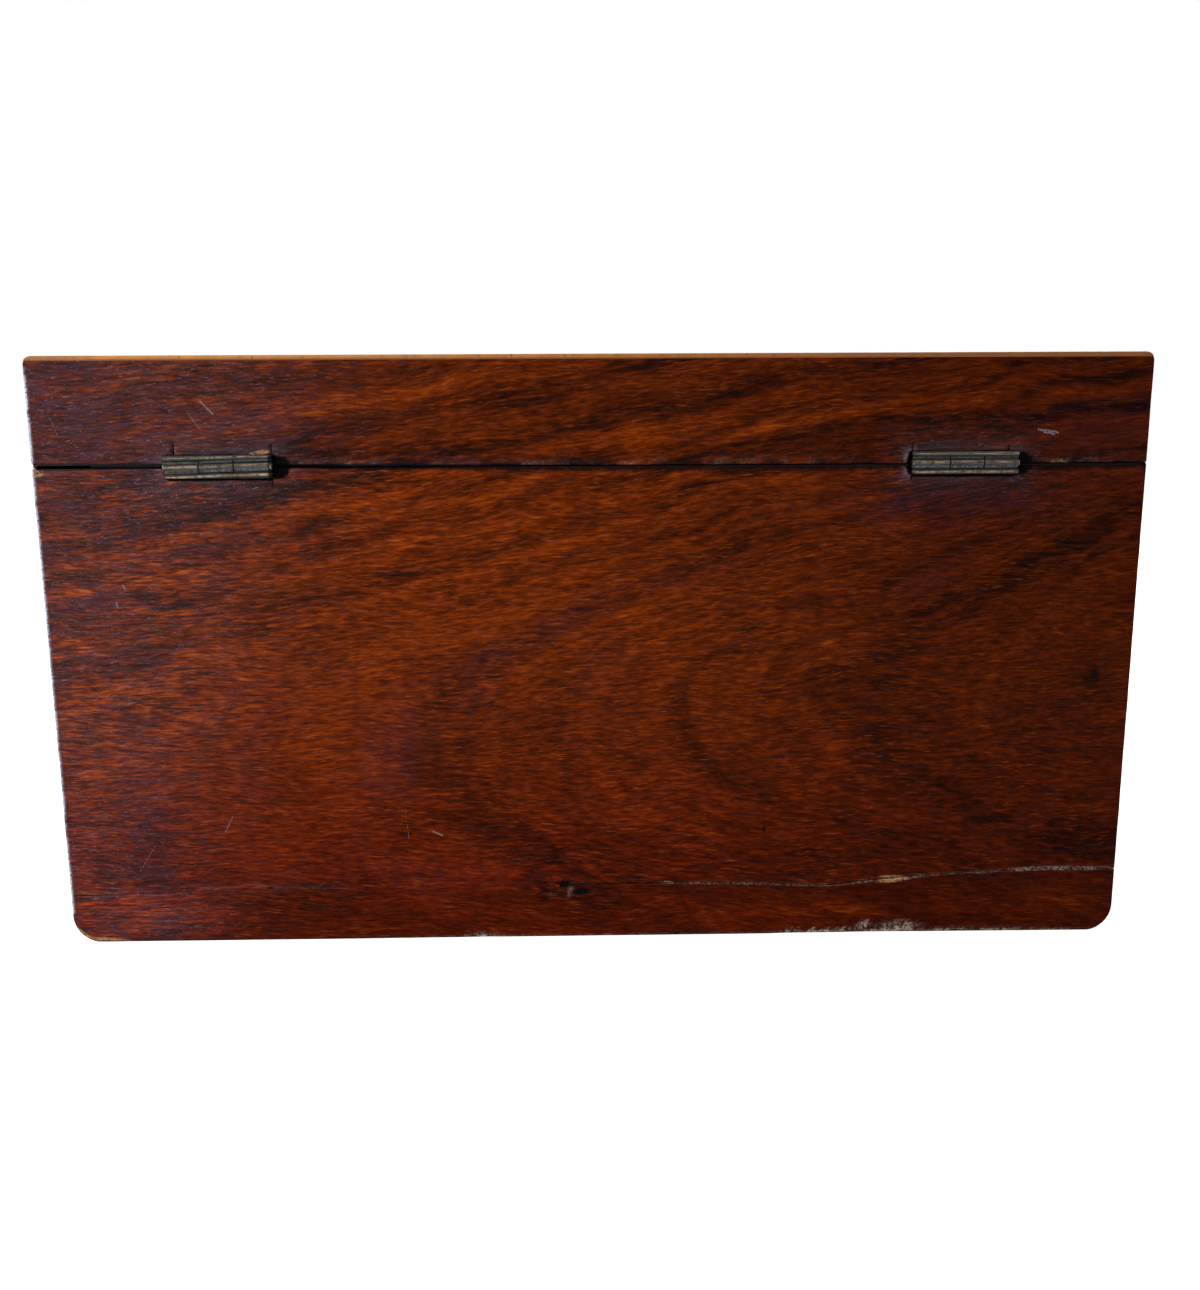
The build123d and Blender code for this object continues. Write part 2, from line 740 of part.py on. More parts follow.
write("lock_pegs", lock_pegs)

with BuildPart() as bolt_spring:
    with BuildSketch(upright_plane(bolt_y + spring_width / 2)):
        with BuildLine():
            left_foot = (spring_left, spring_low)
            right_foot = (spring_right, spring_low)
            left_back = (spring_left, spring_low + spring_thickness)
            right_back = (spring_right, spring_low + spring_thickness)
            ThreePointArc(left_foot, (spring_middle, spring_low + spring_rise), right_foot)
            Line(right_foot, right_back)
            ThreePointArc(right_back, (spring_middle, crown), left_back)
            Line(left_back, left_foot)
        make_face()
    extrude(amount=spring_width)
write("lock_bolt_spring", bolt_spring)

with BuildPart() as lock_bolt:
    with BuildSketch(upright_plane(bolt_y + bolt_thickness / 2)):
        for left, tip in zip(post_lefts, finger_tips):
            panel(left, tip, finger_low, finger_high)
            panel(left, left + finger_post, bolt_bar_bottom, finger_high)
        panel(bolt_left, bolt_bar_right, bolt_bar_bottom, bolt_bar_top)
        guide_width = 2 * (guide_radius + guide_clearance)
        with Locations((guide_place - bolt_travel / 2, guide_z)):
            SlotOverall(bolt_travel + guide_width, guide_width, mode=Mode.SUBTRACT)
        talon_reach = key_bit_thickness / 2 + talon_play
        with Locations((-bolt_travel / 2, bolt_bar_bottom + talon_depth / 2)):
            Rectangle(2 * talon_reach, talon_depth, mode=Mode.SUBTRACT)
    extrude(amount=bolt_thickness)
write("lock_bolt", lock_bolt)

with BuildPart() as link_plate:
    plate_y = link_plate_width / 2
    block(
        (-link_half_length, link_half_length),
        (bolt_y - plate_y, bolt_y + plate_y),
        (lid_bottom, lid_bottom + link_plate_thickness),
    )
    sink_screws(link_screw_planes(), *small_screw)
    for place in staple_places:
        with BuildSketch(Plane.YZ.offset(place - staple_thickness / 2)) as staple:
            near, far = bolt_y - staple_width / 2, bolt_y + staple_width / 2
            panel(near, far, staple_bottom, lid_bottom + link_plate_thickness / 2)
            fillet(staple.vertices().group_by(Axis.Y)[0], staple_round)
            with Locations((bolt_y, finger_z)):
                Rectangle(staple_hole_width, staple_hole_height, mode=Mode.SUBTRACT)
        extrude(amount=staple_thickness)
write("lock_link_plate", link_plate)

with BuildPart() as link_screws:
    add_screws(link_screw_planes(), *small_screw)
write("link_plate_screws", link_screws)

with BuildPart() as escutcheon:
    with BuildSketch(upright_plane(front_y + escutcheon_thickness)) as thread:
        keyhole(escutcheon_wall)
    extrude(amount=escutcheon_thickness)
    with BuildSketch(upright_plane(front_y + escutcheon_thickness)):
        keyhole()
    extrude(amount=escutcheon_thickness, mode=Mode.SUBTRACT)
write("escutcheon", escutcheon)

# ---------------------------------------------------------------- the key
# Its own plane runs out along the shank from the lock's back plate, with the bit
# and the bow standing up in it, leaned over by the rest angle.
lean = radians(key_rest_angle)
key_tip = (0, plate_front_y, key_z)
key_plane = Plane(origin=key_tip, x_dir=(0, -1, 0), z_dir=(-cos(lean), 0, sin(lean)))
collar_start = plate_front_y - front_y + key_collar_place

with BuildPart() as bow:
    with BuildSketch(key_plane):
        with Locations((key_shank_end + key_bow_half_length - key_bow_overlap, 0)):
            Ellipse(key_bow_half_length, key_bow_half_height)
            Ellipse(
                key_bow_half_length - key_bow_bar,
                key_bow_half_height - key_bow_bar,
                mode=Mode.SUBTRACT,
            )
    extrude(amount=key_bow_thickness / 2, both=True)

with BuildPart() as key:
    with BuildSketch(key_plane):
        panel(key_plate_clearance, key_shank_end, 0, key_shank_radius)
        panel(collar_start, collar_start + key_collar_length, 0, key_collar_radius)
    revolve(axis=Axis(key_tip, (0, -1, 0)))
    with BuildSketch(key_plane):
        bit_end = key_bit_setback + key_bit_width
        panel(key_bit_setback, bit_end, key_bit_root, key_bit_reach)
    extrude(amount=key_bit_thickness / 2, both=True)
    add(bow.part)
    with BuildSketch(upright_plane(plate_front_y)):
        with Locations((0, key_z)):
            Circle(key_bore_radius)
    extrude(amount=key_bore_length, mode=Mode.SUBTRACT)
write("key", key)
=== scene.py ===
"""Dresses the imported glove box: rosewood veneer, boxwood line, aged deal, brass
stop hinges, box lock, steel key and a padded silk lining, on a plain pale stage."""

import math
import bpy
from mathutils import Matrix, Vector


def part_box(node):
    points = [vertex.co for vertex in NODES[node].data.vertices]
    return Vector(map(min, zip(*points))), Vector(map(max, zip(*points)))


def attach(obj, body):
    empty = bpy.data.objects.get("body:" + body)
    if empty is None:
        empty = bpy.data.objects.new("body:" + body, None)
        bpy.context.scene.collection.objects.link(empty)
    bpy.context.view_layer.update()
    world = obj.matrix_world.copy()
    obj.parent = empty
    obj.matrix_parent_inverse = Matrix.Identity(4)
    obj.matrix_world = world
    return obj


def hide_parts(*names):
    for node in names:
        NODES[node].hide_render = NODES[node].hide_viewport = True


bl_info = {
    "name": "Antique Glove Box",
    "version": (1, 0, 0),
    "blender": (4, 5, 0),
    "location": "3D View > Sidebar > Glove Box",
    "description": "Veneers, strings, hangs and lines with silk a late Georgian glove box",
    "category": "Object",
}

import bpy
import numpy as np
from bpy.props import FloatProperty, FloatVectorProperty, PointerProperty
from bpy.types import Operator, Panel, PropertyGroup
from mathutils import Matrix, Vector

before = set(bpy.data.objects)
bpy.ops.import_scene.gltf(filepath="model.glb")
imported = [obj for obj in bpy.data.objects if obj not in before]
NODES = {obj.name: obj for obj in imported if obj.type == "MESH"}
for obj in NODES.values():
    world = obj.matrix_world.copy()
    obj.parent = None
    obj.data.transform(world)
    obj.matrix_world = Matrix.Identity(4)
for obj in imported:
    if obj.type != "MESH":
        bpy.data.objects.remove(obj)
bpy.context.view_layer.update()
MM = 0.001
FULL_TURN = 6.283


def limits(node):
    """A node's lowest and highest corners, in millimetres."""
    low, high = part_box(node)
    return np.array(low) / MM, np.array(high) / MM


# ------------------------------------------------------------ sizes of the frame
CASE_HIGH = limits("back_board")[1]
RIM = CASE_HIGH[2]
VENEER_HIGH = limits("back_veneer")[1]
HALF_WIDTH, HALF_DEPTH = VENEER_HIGH[0], VENEER_HIGH[1]
VENEER = HALF_DEPTH - CASE_HIGH[1]
CORE_Y = HALF_DEPTH - VENEER
LID_LOW = limits("lid_back_veneer")[0][2]
LINE_LOW, TOP = limits("stringing_back")[0][2], limits("stringing_back")[1][2]
LINE = TOP - LINE_LOW
FOOT_RADIUS = 7.0
CROWN_RADIUS = 2.2
PIN_LOW, PIN_HIGH = limits("hinge_right_pin")
AXIS_Y = (PIN_LOW[1] + PIN_HIGH[1]) / 2
AXIS_Z = (PIN_LOW[2] + PIN_HIGH[2]) / 2
LEAF_LOW, LEAF_HIGH = limits("hinge_right_body_leaf")
HINGE_LENGTH = LEAF_HIGH[0] - LEAF_LOW[0]
HINGE_PLACE = (LEAF_HIGH[0] + LEAF_LOW[0]) / 2
LEAF_REACH = AXIS_Z - LEAF_LOW[2]
RECESS_FIT = 0.05

# --------------------------------------------------------- the flitch of rosewood
# Growth lines of the log, each its level and the points it passes, in millimetres
# along and up the flitch. The sheets are all leaves of this one flitch.
GROWTH_LINES = (
    (-130, ((-133, 118), (-100, 126), (-60, 135), (-25, 143))),
    (-115, ((-133, 104), (-100, 111), (-60, 121), (-20, 131), (20, 139))),
    (-100, ((-133, 93), (-100, 100), (-60, 110), (-20, 119), (20, 127), (66, 137),
            (100, 144))),
    (-85, ((-133, 80), (-100, 86), (-60, 97), (-20, 108), (20, 118), (60, 127),
           (110, 136), (133, 140))),
    (-70, ((-120, 60), (-90, 72), (-60, 82), (-25, 94), (15, 105), (60, 117),
           (110, 127), (133, 131))),
    (-55, ((-65, 45), (-66, 60), (-50, 74), (-20, 86), (15, 97), (60, 110), (100, 119),
           (133, 125))),
    (-40, ((-20, 25), (-37, 45), (-38, 58), (-30, 69), (-10, 81), (20, 91), (60, 103),
           (95, 113), (133, 120.5))),
    (-10, ((30, 22), (0, 35), (-9, 50), (-8, 62), (5, 74), (30, 85), (65, 98),
           (100, 109), (133, 118.5))),
    (22, ((90, 24), (46, 36), (31, 42), (24, 52), (22, 62), (26, 72), (51, 87),
          (85, 97), (120, 111), (133, 115.5))),
    (64, ((130, 24), (101, 29.5), (80, 39.5), (70, 52), (66, 59.5), (70, 68), (86, 83),
          (107, 96), (131, 109.5))),
    (95, ((133, 42), (110, 45), (97, 56), (97, 64), (110, 78), (133, 92))),
    (120, ((133, 60), (122, 62), (122, 70), (133, 76))),
)
PLATE_SLACK = 40.0
# Dark growth bands: level, half width in levels and strength.
DARK_BANDS = (
    (64, 11.0, 0.75), (22, 5.0, 0.42), (-40, 6.0, 0.4), (-10, 3.0, 0.12), (84, 3.0, 0.3),
    (104, 7.0, 0.3), (45, 2.5, 0.2), (-62, 2.5, 0.4), (-77, 2.8, 0.75),
    (-89, 2.3, 0.95), (-97, 2.0, 0.7), (-108, 2.5, 0.95), (-121, 2.8, 0.95),
)
# Soft patches of one cast, each its middle along and up the flitch, half length,
# half width, tilt in degrees and strength. A strength below nought lightens.
GLOW_PATCHES = (
    (58, 131, 58, 4.2, 9, 1.0), (-40, 137, 36, 3.2, 9, 0.6), (-78, 129, 26, 2.6, 14, 0.5),
    (-112, 137, 18, 3.5, 12, 0.45), (-110, 92, 30, 2.6, 12, 0.75), (-88, 106, 36, 2.4, 14, 0.8),
    (-48, 111, 30, 2.2, 14, 0.7), (-104, 82, 26, 2.6, 12, 0.6), (-60, 99, 32, 2.4, 16, 0.65),
    (-8, 115, 26, 2.4, 14, 0.5), (-118, 74, 18, 3, 8, 0.4), (57, 76, 3.2, 0.9, 32, 1.2),
    (66, 103, 12, 2.2, 18, 0.5), (70, 6.5, 55, 2.4, 3, 0.75), (-60, 10, 26, 2, 3, 0.3),
    (10, 127, 22, 2, 12, 0.5), (64, 58, 14, 5, 60, 0.35), (36, 60, 10, 5, 80, 0.3),
    (-72, 60, 32, 16, 10, 0.28), (-30, 88, 40, 10, 14, 0.25), (116, 134, 20, 2.4, 8, 0.4),
    (-116, 8, 17, 6, 0, 1.75), (-118, 50, 18, 9, 4, 1.0), (-95, 68, 34, 8, 6, 0.4),
    (0, 108, 60, 9, 14, 0.3), (52, 6, 16, 5, 0, 0.8), (118, 7, 14, 6, 0, 0.8),
    (-50, 127, 18, 5, 5, 0.4), (118, 80, 12, 20, 0, 0.35), (56, 110, 14, 8, 0, 0.3),
    (-14, 110, 14, 8, 0, 0.3), (-118, 90, 14, 10, 0, 0.35), (118, 138, 14, 5, 0, 0.25),
    (120, 108, 12, 8, 0, 0.3), (118, 127, 14, 4, 0, 0.2), (16, 78, 18, 16, 0, 0.2),
    (-108, 38, 11, 7, 0, 0.6), (-104, 58, 16, 4, 0, 0.4), (-100, 91, 12, 3, 10, 0.45),
    (-113, 99, 8, 4, 0, 0.5), (-56, 99, 12, 4, 10, 0.5), (-24, 26, 7, 4, 0, 0.5),
    (118, 102, 9, 7, 0, 0.4), (-44, 105, 8, 3, 8, 0.4),
)
VIOLET_PATCHES = (
    (-122, 134, 16, 9, 0, 0.75), (-96, 126, 24, 5, 6, 0.7), (-126, 104, 12, 18, 0, 0.5),
    (-92, 63, 24, 7, 14, 0.35), (-50, 50, 9, 17, -20, 0.55), (-30, 66, 9, 6, 50, 0.45),
    (-12, 79, 14, 3, 24, 0.45), (18, 92, 16, 2.5, 14, 0.25), (2, 68, 8, 6, 60, 0.4),
    (86, 111, 26, 7, 4, 0.6), (122, 128, 16, 7, 0, 0.45), (-112, 28, 26, 14, 0, 0.2),
    (-40, 16, 30, 5, 0, 0.3), (80, 90, 10, 3, 30, 0.4),
)
DARK_PATCHES = (
    (92, 112, 30, 7, 3, 0.6), (67, 62, 7, 9, 0, -0.35), (-2, 122, 130, 1.6, 0, 0.3),
    (122, 66, 5, 7, 0, 0.55), (60, 125, 46, 1.5, 8, 0.45), (110, 131, 30, 2.2, 8, 0.5),
    (-60, 122.5, 40, 2, 5, 0.15), (-20, 27, 26, 7, -10, 0.3), (30, 18, 60, 5, 4, 0.35),
    (118, 100, 12, 10, 30, 0.4), (-70, 10, 10, 5, 0, 0.4), (-100, 16, 30, 3, 0, 0.25),
    (122, 27, 12, 6, 0, -0.25), (-14, 12, 7, 3, 0, 0.35), (74, 140, 30, 1.4, 6, 0.4),
    (-92, 121, 34, 3, 3, 0.5), (-84, 112, 16, 11, 10, 0.2), (-50, 28, 14, 10, 0, 0.18),
    (84, 6, 14, 4, 0, 0.15), (-106, 82, 17, 3.6, 10, 0.5), (-62, 114.5, 26, 3, 5, 0.45),
    (-94, 113, 18, 3, 4, 0.3), (-24, 54, 12, 14, 0, 0.2), (-3, 55, 5, 7, 0, 0.22),
    (-60, 65, 6, 6, 0, 0.22), (-44, 74, 12, 5, 0, 0.18), (-124, 75, 6, 5, 0, 0.3),
    (8, 114, 10, 3, 8, 0.28), (36, 58, 4, 4, 0, 0.2), (0, 26, 8, 4, 0, 0.2),
    (-96, 25, 8, 4, 0, 0.15),
)
# The split in the back veneer: points along and up the back, and how far it gapes.
SPLIT = np.array([
    (-132.5, 12.5), (-111.3, 13.0), (-88.8, 14.0), (-70.2, 13.6), (-31.8, 12.8),
    (-8.9, 12.1), (-6.4, 14.3), (33.1, 14.1), (59.6, 13.1), (71.6, 14.5),
    (90.1, 15.95), (115.3, 16.9), (132.5, 16.7),
])
SPLIT_GAP = np.array([
    (-132.5, 0.12), (-112, 0.10), (-100, 0.03), (-14, 0.03), (-9, 0.5), (-5, 0.5), (20, 0.07),
    (60, 0.12), (66, 0.3), (72, 0.25), (86, 0.12), (128, 0.12), (132.5, 0.02),
])
# Knife cuts past the hinge recesses: place along the back, and their ends up it.
KNIFE_CUTS = (
    (-98.94, 122.2, 125.3), (-76.0, 122.2, 124.5), (-76.0, 114.7, 116.8),
    (76.1, 122.2, 124.2), (76.1, 115.4, 116.8), (99.3, 122.2, 123.6), (99.3, 115.8, 116.8),
)
KNIFE = 0.35


def thin_plate(points, values):
    """The smoothest surface through scattered values: a sum of r squared times log r
    about each point, plus a plane, with weights from one linear solve."""
    def kernel(a, b):
        squared = ((a[:, None, :] - b[None, :, :]) ** 2).sum(-1)
        return 0.5 * squared * np.log(squared + 1e-9)

    count = len(points)
    plane = np.column_stack([np.ones(count), points])
    system = np.zeros((count + 3, count + 3))
    system[:count, :count] = kernel(points, points) + PLATE_SLACK * np.eye(count)
    system[:count, count:], system[count:, :count] = plane, plane.T
    weights = np.linalg.solve(system, np.append(values, np.zeros(3)))

    def surface(u, v):
        flat = np.column_stack([u.ravel(), v.ravel()])
        swell = kernel(flat, points) @ weights[:count]
        return (swell + weights[count] + flat @ weights[count + 1:]).reshape(u.shape)

    return surface


growth_surface = thin_plate(
    np.array([point for _, line in GROWTH_LINES for point in line], float),
    np.array([level for level, line in GROWTH_LINES for _ in line], float),
)


def ripple(a, b, size, seed, waves=9):
    """Soft unevenness between about -1 and 1: plane sine waves of nearly one length,
    in directions and phases drawn from the seed, added up."""
    draw = np.random.default_rng(seed)
    total = np.zeros(np.broadcast(a, b).shape)
    highest = (FULL_TURN, FULL_TURN, 1.7)
    for turn, phase, stretch in draw.uniform((0, 0, 0.6), highest, (waves, 3)):
        run = a * math.cos(turn) + b * math.sin(turn)
        total += np.sin(FULL_TURN * stretch * run / size + phase)
    return total * math.sqrt(2 / waves) / 1.6


def held(field, low=0, high=1):
    """A field held between two values."""
    return np.clip(field, low, high)


def patchy(a, b, size, seed, level, swing, most=1):
    """A ripple about a level, held between nought and the most."""
    return held(level + swing * ripple(a, b, size, seed), 0, most)


def bell(distance, reach, power=2):
    """A soft mark: 1 where the distance is nought, and it fades out past the reach."""
    return np.exp(-((distance / reach) ** power))


def soft_step(distance, reach):
    """A soft step: nearly 1 well below nought, a half at it, and nearly 0 above."""
    return 1 / (1 + np.exp(distance / reach))


def patches(u, v, marks):
    """The sum of Gaussian patches, long along their own tilt."""
    total = np.zeros(u.shape)
    for mark_u, mark_v, length, width, tilt, strength in marks:
        turn = math.radians(tilt)
        along = (u - mark_u) * math.cos(turn) + (v - mark_v) * math.sin(turn)
        across = (v - mark_v) * math.cos(turn) - (u - mark_u) * math.sin(turn)
        total += strength * bell(along, length) * bell(across, width)
    return total


def flitch_figure(u, v):
    """What the flitch shows at each point: its growth level, the lay of its fibre, and
    its dark bands, warm glow and violet cast. The lay is the height less 9.5 mm times
    tanh(u / 100) times tanh((v - 42) / 35), so fibres climb above 42 mm and fall below
    it. Bands are Gaussians of the level, broken along their run."""
    wander = 1.6 * ripple(u, 2.2 * v, 46, 3) + 0.6 * ripple(u, 3 * v, 17, 4)
    level = growth_surface(u, v) + wander
    breaks = held(0.85 + 0.30 * ripple(u, 1.6 * v, 38, 5), 0.3, 1.15)
    dark = sum(strength * bell(level - middle, half) for middle, half, strength in DARK_BANDS)
    # the leaf's lower left grew evenly, so its bands fade out there
    even = soft_step(u + 45, 9) * soft_step(v - 66 - 0.2 * u, 6)
    climb = 9.5 * np.tanh(u / 100) * np.tanh((v - 42) / 35)
    return {
        "growth": level,
        "lay": v - climb + 0.8 * ripple(u, 2 * v, 60, 6),
        "dark": dark * breaks * (1 - 0.8 * even) + patches(u, v, DARK_PATCHES),
        "glow": patches(u, v, GLOW_PATCHES),
        "violet": patches(u, v, VIOLET_PATCHES),
        # painted sheen toward the left end, partly a bloom in the old polish
        "bloom_and_sheen": soft_step(u + 104 - 0.35 * held(v - 40, 0, 95), 11),
        # darker toward the right end: partly heartwood, partly painted shade
        "heart_and_shade": soft_step(50 - u, 22),
    }


# ---------------------------------------------------------------- mesh building
def grid_lines(stops, pitch, crowd=(0.12, 0.3, 0.6, 1.0)):
    """Grid lines at about one pitch with every stop on a line, and closer lines
    inside both ends."""
    stops = sorted(set(np.round(stops, 4)))
    lines = list(stops)
    for low, high in zip(stops, stops[1:]):
        steps = max(1, round((high - low) / pitch))
        lines += list(np.linspace(low, high, steps + 1)[1:-1])
    lines += [stops[0] + inset for inset in crowd] + [stops[-1] - inset for inset in crowd]
    lines = np.array(sorted(lines))
    apart = np.concatenate([[True], np.diff(lines) > 0.04])
    exact = np.isin(np.round(lines, 4), stops)
    return lines[apart | exact]


def sheet_grid(stops_along, stops_up, pitch):
    """The grid of a sheet, from the places that need a line along it and up it."""
    return np.meshgrid(grid_lines(stops_along, pitch), grid_lines(stops_up, pitch))


def lay_grid(name, points, keep=None, closed=False, attributes=None):
    """A mesh object from points in rows and columns, in millimetres: one quad for
    each kept cell. The rows of a closed grid run round to their own start."""
    rows, columns = points.shape[:2]
    number = np.arange(rows * columns).reshape(rows, columns)
    if closed:
        number = np.hstack([number, number[:, :1]])
    quads = np.stack(
        [number[:-1, :-1], number[:-1, 1:], number[1:, 1:], number[1:, :-1]], axis=-1
    )
    quads = quads[keep] if keep is not None else quads.reshape(-1, 4)
    used, quads = np.unique(quads, return_inverse=True)
    places = points.reshape(-1, 3)[used] * MM
    values = {key: field.ravel()[used] for key, field in (attributes or {}).items()}
    return lay_faces(name, places, quads.reshape(-1, 4), values)


def lay_faces(name, places, faces, values=None, smooth=True):
    """A mesh object from places in metres and faces, with a float attribute for each
    named array of values, one for each vertex."""
    mesh = bpy.data.meshes.new(name)
    mesh.from_pydata(places.tolist(), [], [list(face) for face in faces])
    for key, field in (values or {}).items():
        attribute = mesh.attributes.new(key, "FLOAT", "POINT")
        attribute.data.foreach_set("value", field.astype(np.float32))
    mesh.polygons.foreach_set("use_smooth", np.full(len(mesh.polygons), smooth))
    mesh.update()
    return hang(name, mesh)


def hang(name, data):
    """A new object in the scene, for a mesh, a lamp or a camera."""
    made = bpy.data.objects.new(name, data)
    bpy.context.scene.collection.objects.link(made)
    return made


def dress(piece, material):
    """Gives a piece or a node its one material."""
    piece.data.materials.clear()
    piece.data.materials.append(material)
    return piece


# Each outer face: how far out it lies, and its ways along, up and out.
FACES = {
    "back": (HALF_DEPTH, (-1, 0, 0), (0, 0, 1), (0, 1, 0)),
    "front": (HALF_DEPTH, (1, 0, 0), (0, 0, 1), (0, -1, 0)),
    "right": (HALF_WIDTH, (0, 1, 0), (0, 0, 1), (1, 0, 0)),
    "left": (HALF_WIDTH, (0, -1, 0), (0, 0, 1), (-1, 0, 0)),
    "top": (TOP, (1, 0, 0), (0, 1, 0), (0, 0, 1)),
}
# Where each sheet was cut from the flitch: its scale and place along and up it.
FLITCH_CUTS = {
    "back": (1.0, 0.0, 1.0, 0.0), "front": (-1.0, 14.0, 1.0, 0.0),
    "right": (0.9, -52.0, 0.9, 30.0), "left": (-0.9, 58.0, 0.9, 34.0),
    "top": (0.95, -6.0, 0.62, 58.0),
}


def round_off(inward, radius):
    """How far a rounded arris lies below the flat, this far in from the edge."""
    short = held(radius - inward, 0, radius)
    return radius - np.sqrt(np.maximum(radius**2 - short**2, 0))


def corner_sink(height):
    """How far the worn round of a lower or upper corner draws in the outline here."""
    return round_off(height, FOOT_RADIUS) + round_off(TOP - height, CROWN_RADIUS)


def draw_in(along, up):
    """How far out a back or front sheet reaches at each height between its worn
    corners, and its places along drawn in to that."""
    reach = HALF_WIDTH - corner_sink(up)
    return reach, along * reach / HALF_WIDTH


def lay_sheet(name, side, along, up, sink, keep=None, extra=None, shade=0.0, haze_and_sheen=0.0):
    """A sheet of veneer on one face: the grid of along and up carried out to the face,
    less its sink, with the flitch's figure, its own wear and its painted light and shade
    as attributes. A sheet may be shaded darker than the rest, or given more haze and
    painted sheen, all over or point by point."""
    out, way_along, way_up, way_out = FACES[side]
    uneven = 0.05 * ripple(along, up, 34, 11) + 0.02 * ripple(along, up, 9, 12)
    level = out - sink - held(0.03 + 0.7 * uneven, 0, 0.14)
    points = (along[..., None] * np.array(way_along) + up[..., None] * np.array(way_up)
              + level[..., None] * np.array(way_out))
    scale_u, shift_u, scale_v, shift_v = FLITCH_CUTS[side]
    u, v = along * scale_u + shift_u, up * scale_v + shift_v
    values = {**flitch_figure(u, v), "flitch_u": u, "flitch_v": v, **(extra or {})}
    values["heart_and_shade"] = values["heart_and_shade"] + shade
    values["bloom_and_sheen"] = values["bloom_and_sheen"] + haze_and_sheen
    piece = lay_grid(name, points, keep, attributes=values)
    solid = piece.modifiers.new("thickness", "SOLIDIFY")
    solid.thickness, solid.offset = VENEER * MM, -1
    return piece


# ---------------------------------------------------------------- shader building
def both_ways(way):
    """The two methods of one operator: with the value first, and with it second."""
    return (lambda self, other: self.math(way, self, other),
            lambda self, other: self.math(way, other, self))


class Value:
    """A number, place or colour in a shader tree. Arithmetic on a number adds nodes,
    one for each step."""

    def __init__(self, socket):
        self.socket, self.tree = socket, socket.id_data

    def math(self, way, *terms):
        """One node of arithmetic on these terms."""
        return wire(self.tree, "ShaderNodeMath", dict(enumerate(terms)), operation=way)

    __add__, __radd__ = both_ways("ADD")
    __sub__, __rsub__ = both_ways("SUBTRACT")
    __mul__, __rmul__ = both_ways("MULTIPLY")
    __truediv__, __rtruediv__ = both_ways("DIVIDE")

    def above(self, other):
        """1 where this value is more than the other, and 0 elsewhere."""
        return self.math("GREATER_THAN", self, other)

    def below(self, other):
        """1 where this value is less than the other, and 0 elsewhere."""
        return self.math("LESS_THAN", self, other)

    def __abs__(self):
        return self.math("ABSOLUTE", self)

    def sine(self):
        """The sine of this value, in radians."""
        return self.math("SINE", self)

    def or_more(self, other):
        """This value or the other, whichever is more."""
        return self.math("MAXIMUM", self, other)

    def clamped(self):
        """The same value, with its last step of arithmetic held between 0 and 1."""
        self.socket.node.use_clamp = True
        return self


def plug(socket, value):
    """Links a value to a socket, or sets the socket to a plain one."""
    if isinstance(value, Value):
        value.tree.links.new(value.socket, socket)
    else:
        socket.default_value = value


def put(tree, kind, inputs=None, **settings):
    """Adds one node to a tree, and fills its inputs."""
    made = tree.nodes.new(kind)
    for key, value in settings.items():
        setattr(made, key, value)
    for key, value in (inputs or {}).items():
        plug(made.inputs[key], value)
    return made


def wire(tree, kind, inputs=None, output=0, **settings):
    """Adds one node to a tree, and gives what comes out of it."""
    return Value(put(tree, kind, inputs, **settings).outputs[output])


def spread(value, low, high, to_low=0.0, to_high=1.0):
    """A value carried smoothly from one range to another, and held at its ends."""
    inputs = {"Value": value, "From Min": low, "From Max": high,
              "To Min": to_low, "To Max": to_high}
    return wire(value.tree, "ShaderNodeMapRange", inputs, interpolation_type="SMOOTHSTEP")


def colour_of(*levels):
    """A colour for a shader from its screen levels, 0 to 255."""
    share = np.array(levels) / 255
    linear = np.where(share <= 0.04045, share / 12.92, ((share + 0.055) / 1.055) ** 2.4)
    return (*linear, 1.0)


def tint(share, under, over, way="MIX"):
    """One colour laid over another by a share. A colour of three is in screen levels."""
    under, over = (colour_of(*one) if isinstance(one, tuple) else one for one in (under, over))
    return wire(share.tree, "ShaderNodeMix", {0: share, 6: under, 7: over}, 2,
                data_type="RGBA", blend_type=way)


def coats(colour, *layers):
    """A colour under others, each with its share and perhaps its way of mixing."""
    for share, over, *way in layers:
        colour = tint(share, colour, over, *way)
    return colour


def place(u, v, w=0.0):
    """Three values as one place."""
    return wire(u.tree, "ShaderNodeCombineXYZ", {0: u, 1: v, 2: w})


def split(where):
    """A place as three values."""
    parts = put(where.tree, "ShaderNodeSeparateXYZ", {0: where}).outputs
    return [Value(part) for part in parts]


def mottle(where, scale, detail=2.0, roughness=0.5):
    """Noise at a place, centred on a half."""
    inputs = {"Vector": where, "Scale": scale, "Detail": detail, "Roughness": roughness}
    return wire(where.tree, "ShaderNodeTexNoise", inputs, "Fac")


def read(tree, name):
    """The value that a piece's own attribute holds."""
    return wire(tree, "ShaderNodeAttribute", None, "Fac", attribute_name=name)


def bumped(height, strength, distance):
    """A normal from a height, given in metres of relief."""
    inputs = {"Height": height, "Strength": strength, "Distance": distance}
    return wire(height.tree, "ShaderNodeBump", inputs)


def seen_plainly(tree):
    """1 for rays that come from the camera, a gloss or a clear body, and 0 for others."""
    path = put(tree, "ShaderNodeLightPath").outputs
    camera, gloss, clear = (
        Value(path[f"Is {kind} Ray"]) for kind in ("Camera", "Glossy", "Transmission"))
    return camera.or_more(gloss.or_more(clear))


def ramp(value, stops):
    """A value carried through colours at their stops."""
    made = put(value.tree, "ShaderNodeValToRGB", {"Fac": value})
    band = made.color_ramp
    band.elements[0].position, band.elements[0].color = stops[0]
    band.elements[1].position, band.elements[1].color = stops[-1]
    for where, colour in stops[1:-1]:
        band.elements.new(where).color = colour
    return Value(made.outputs["Color"])


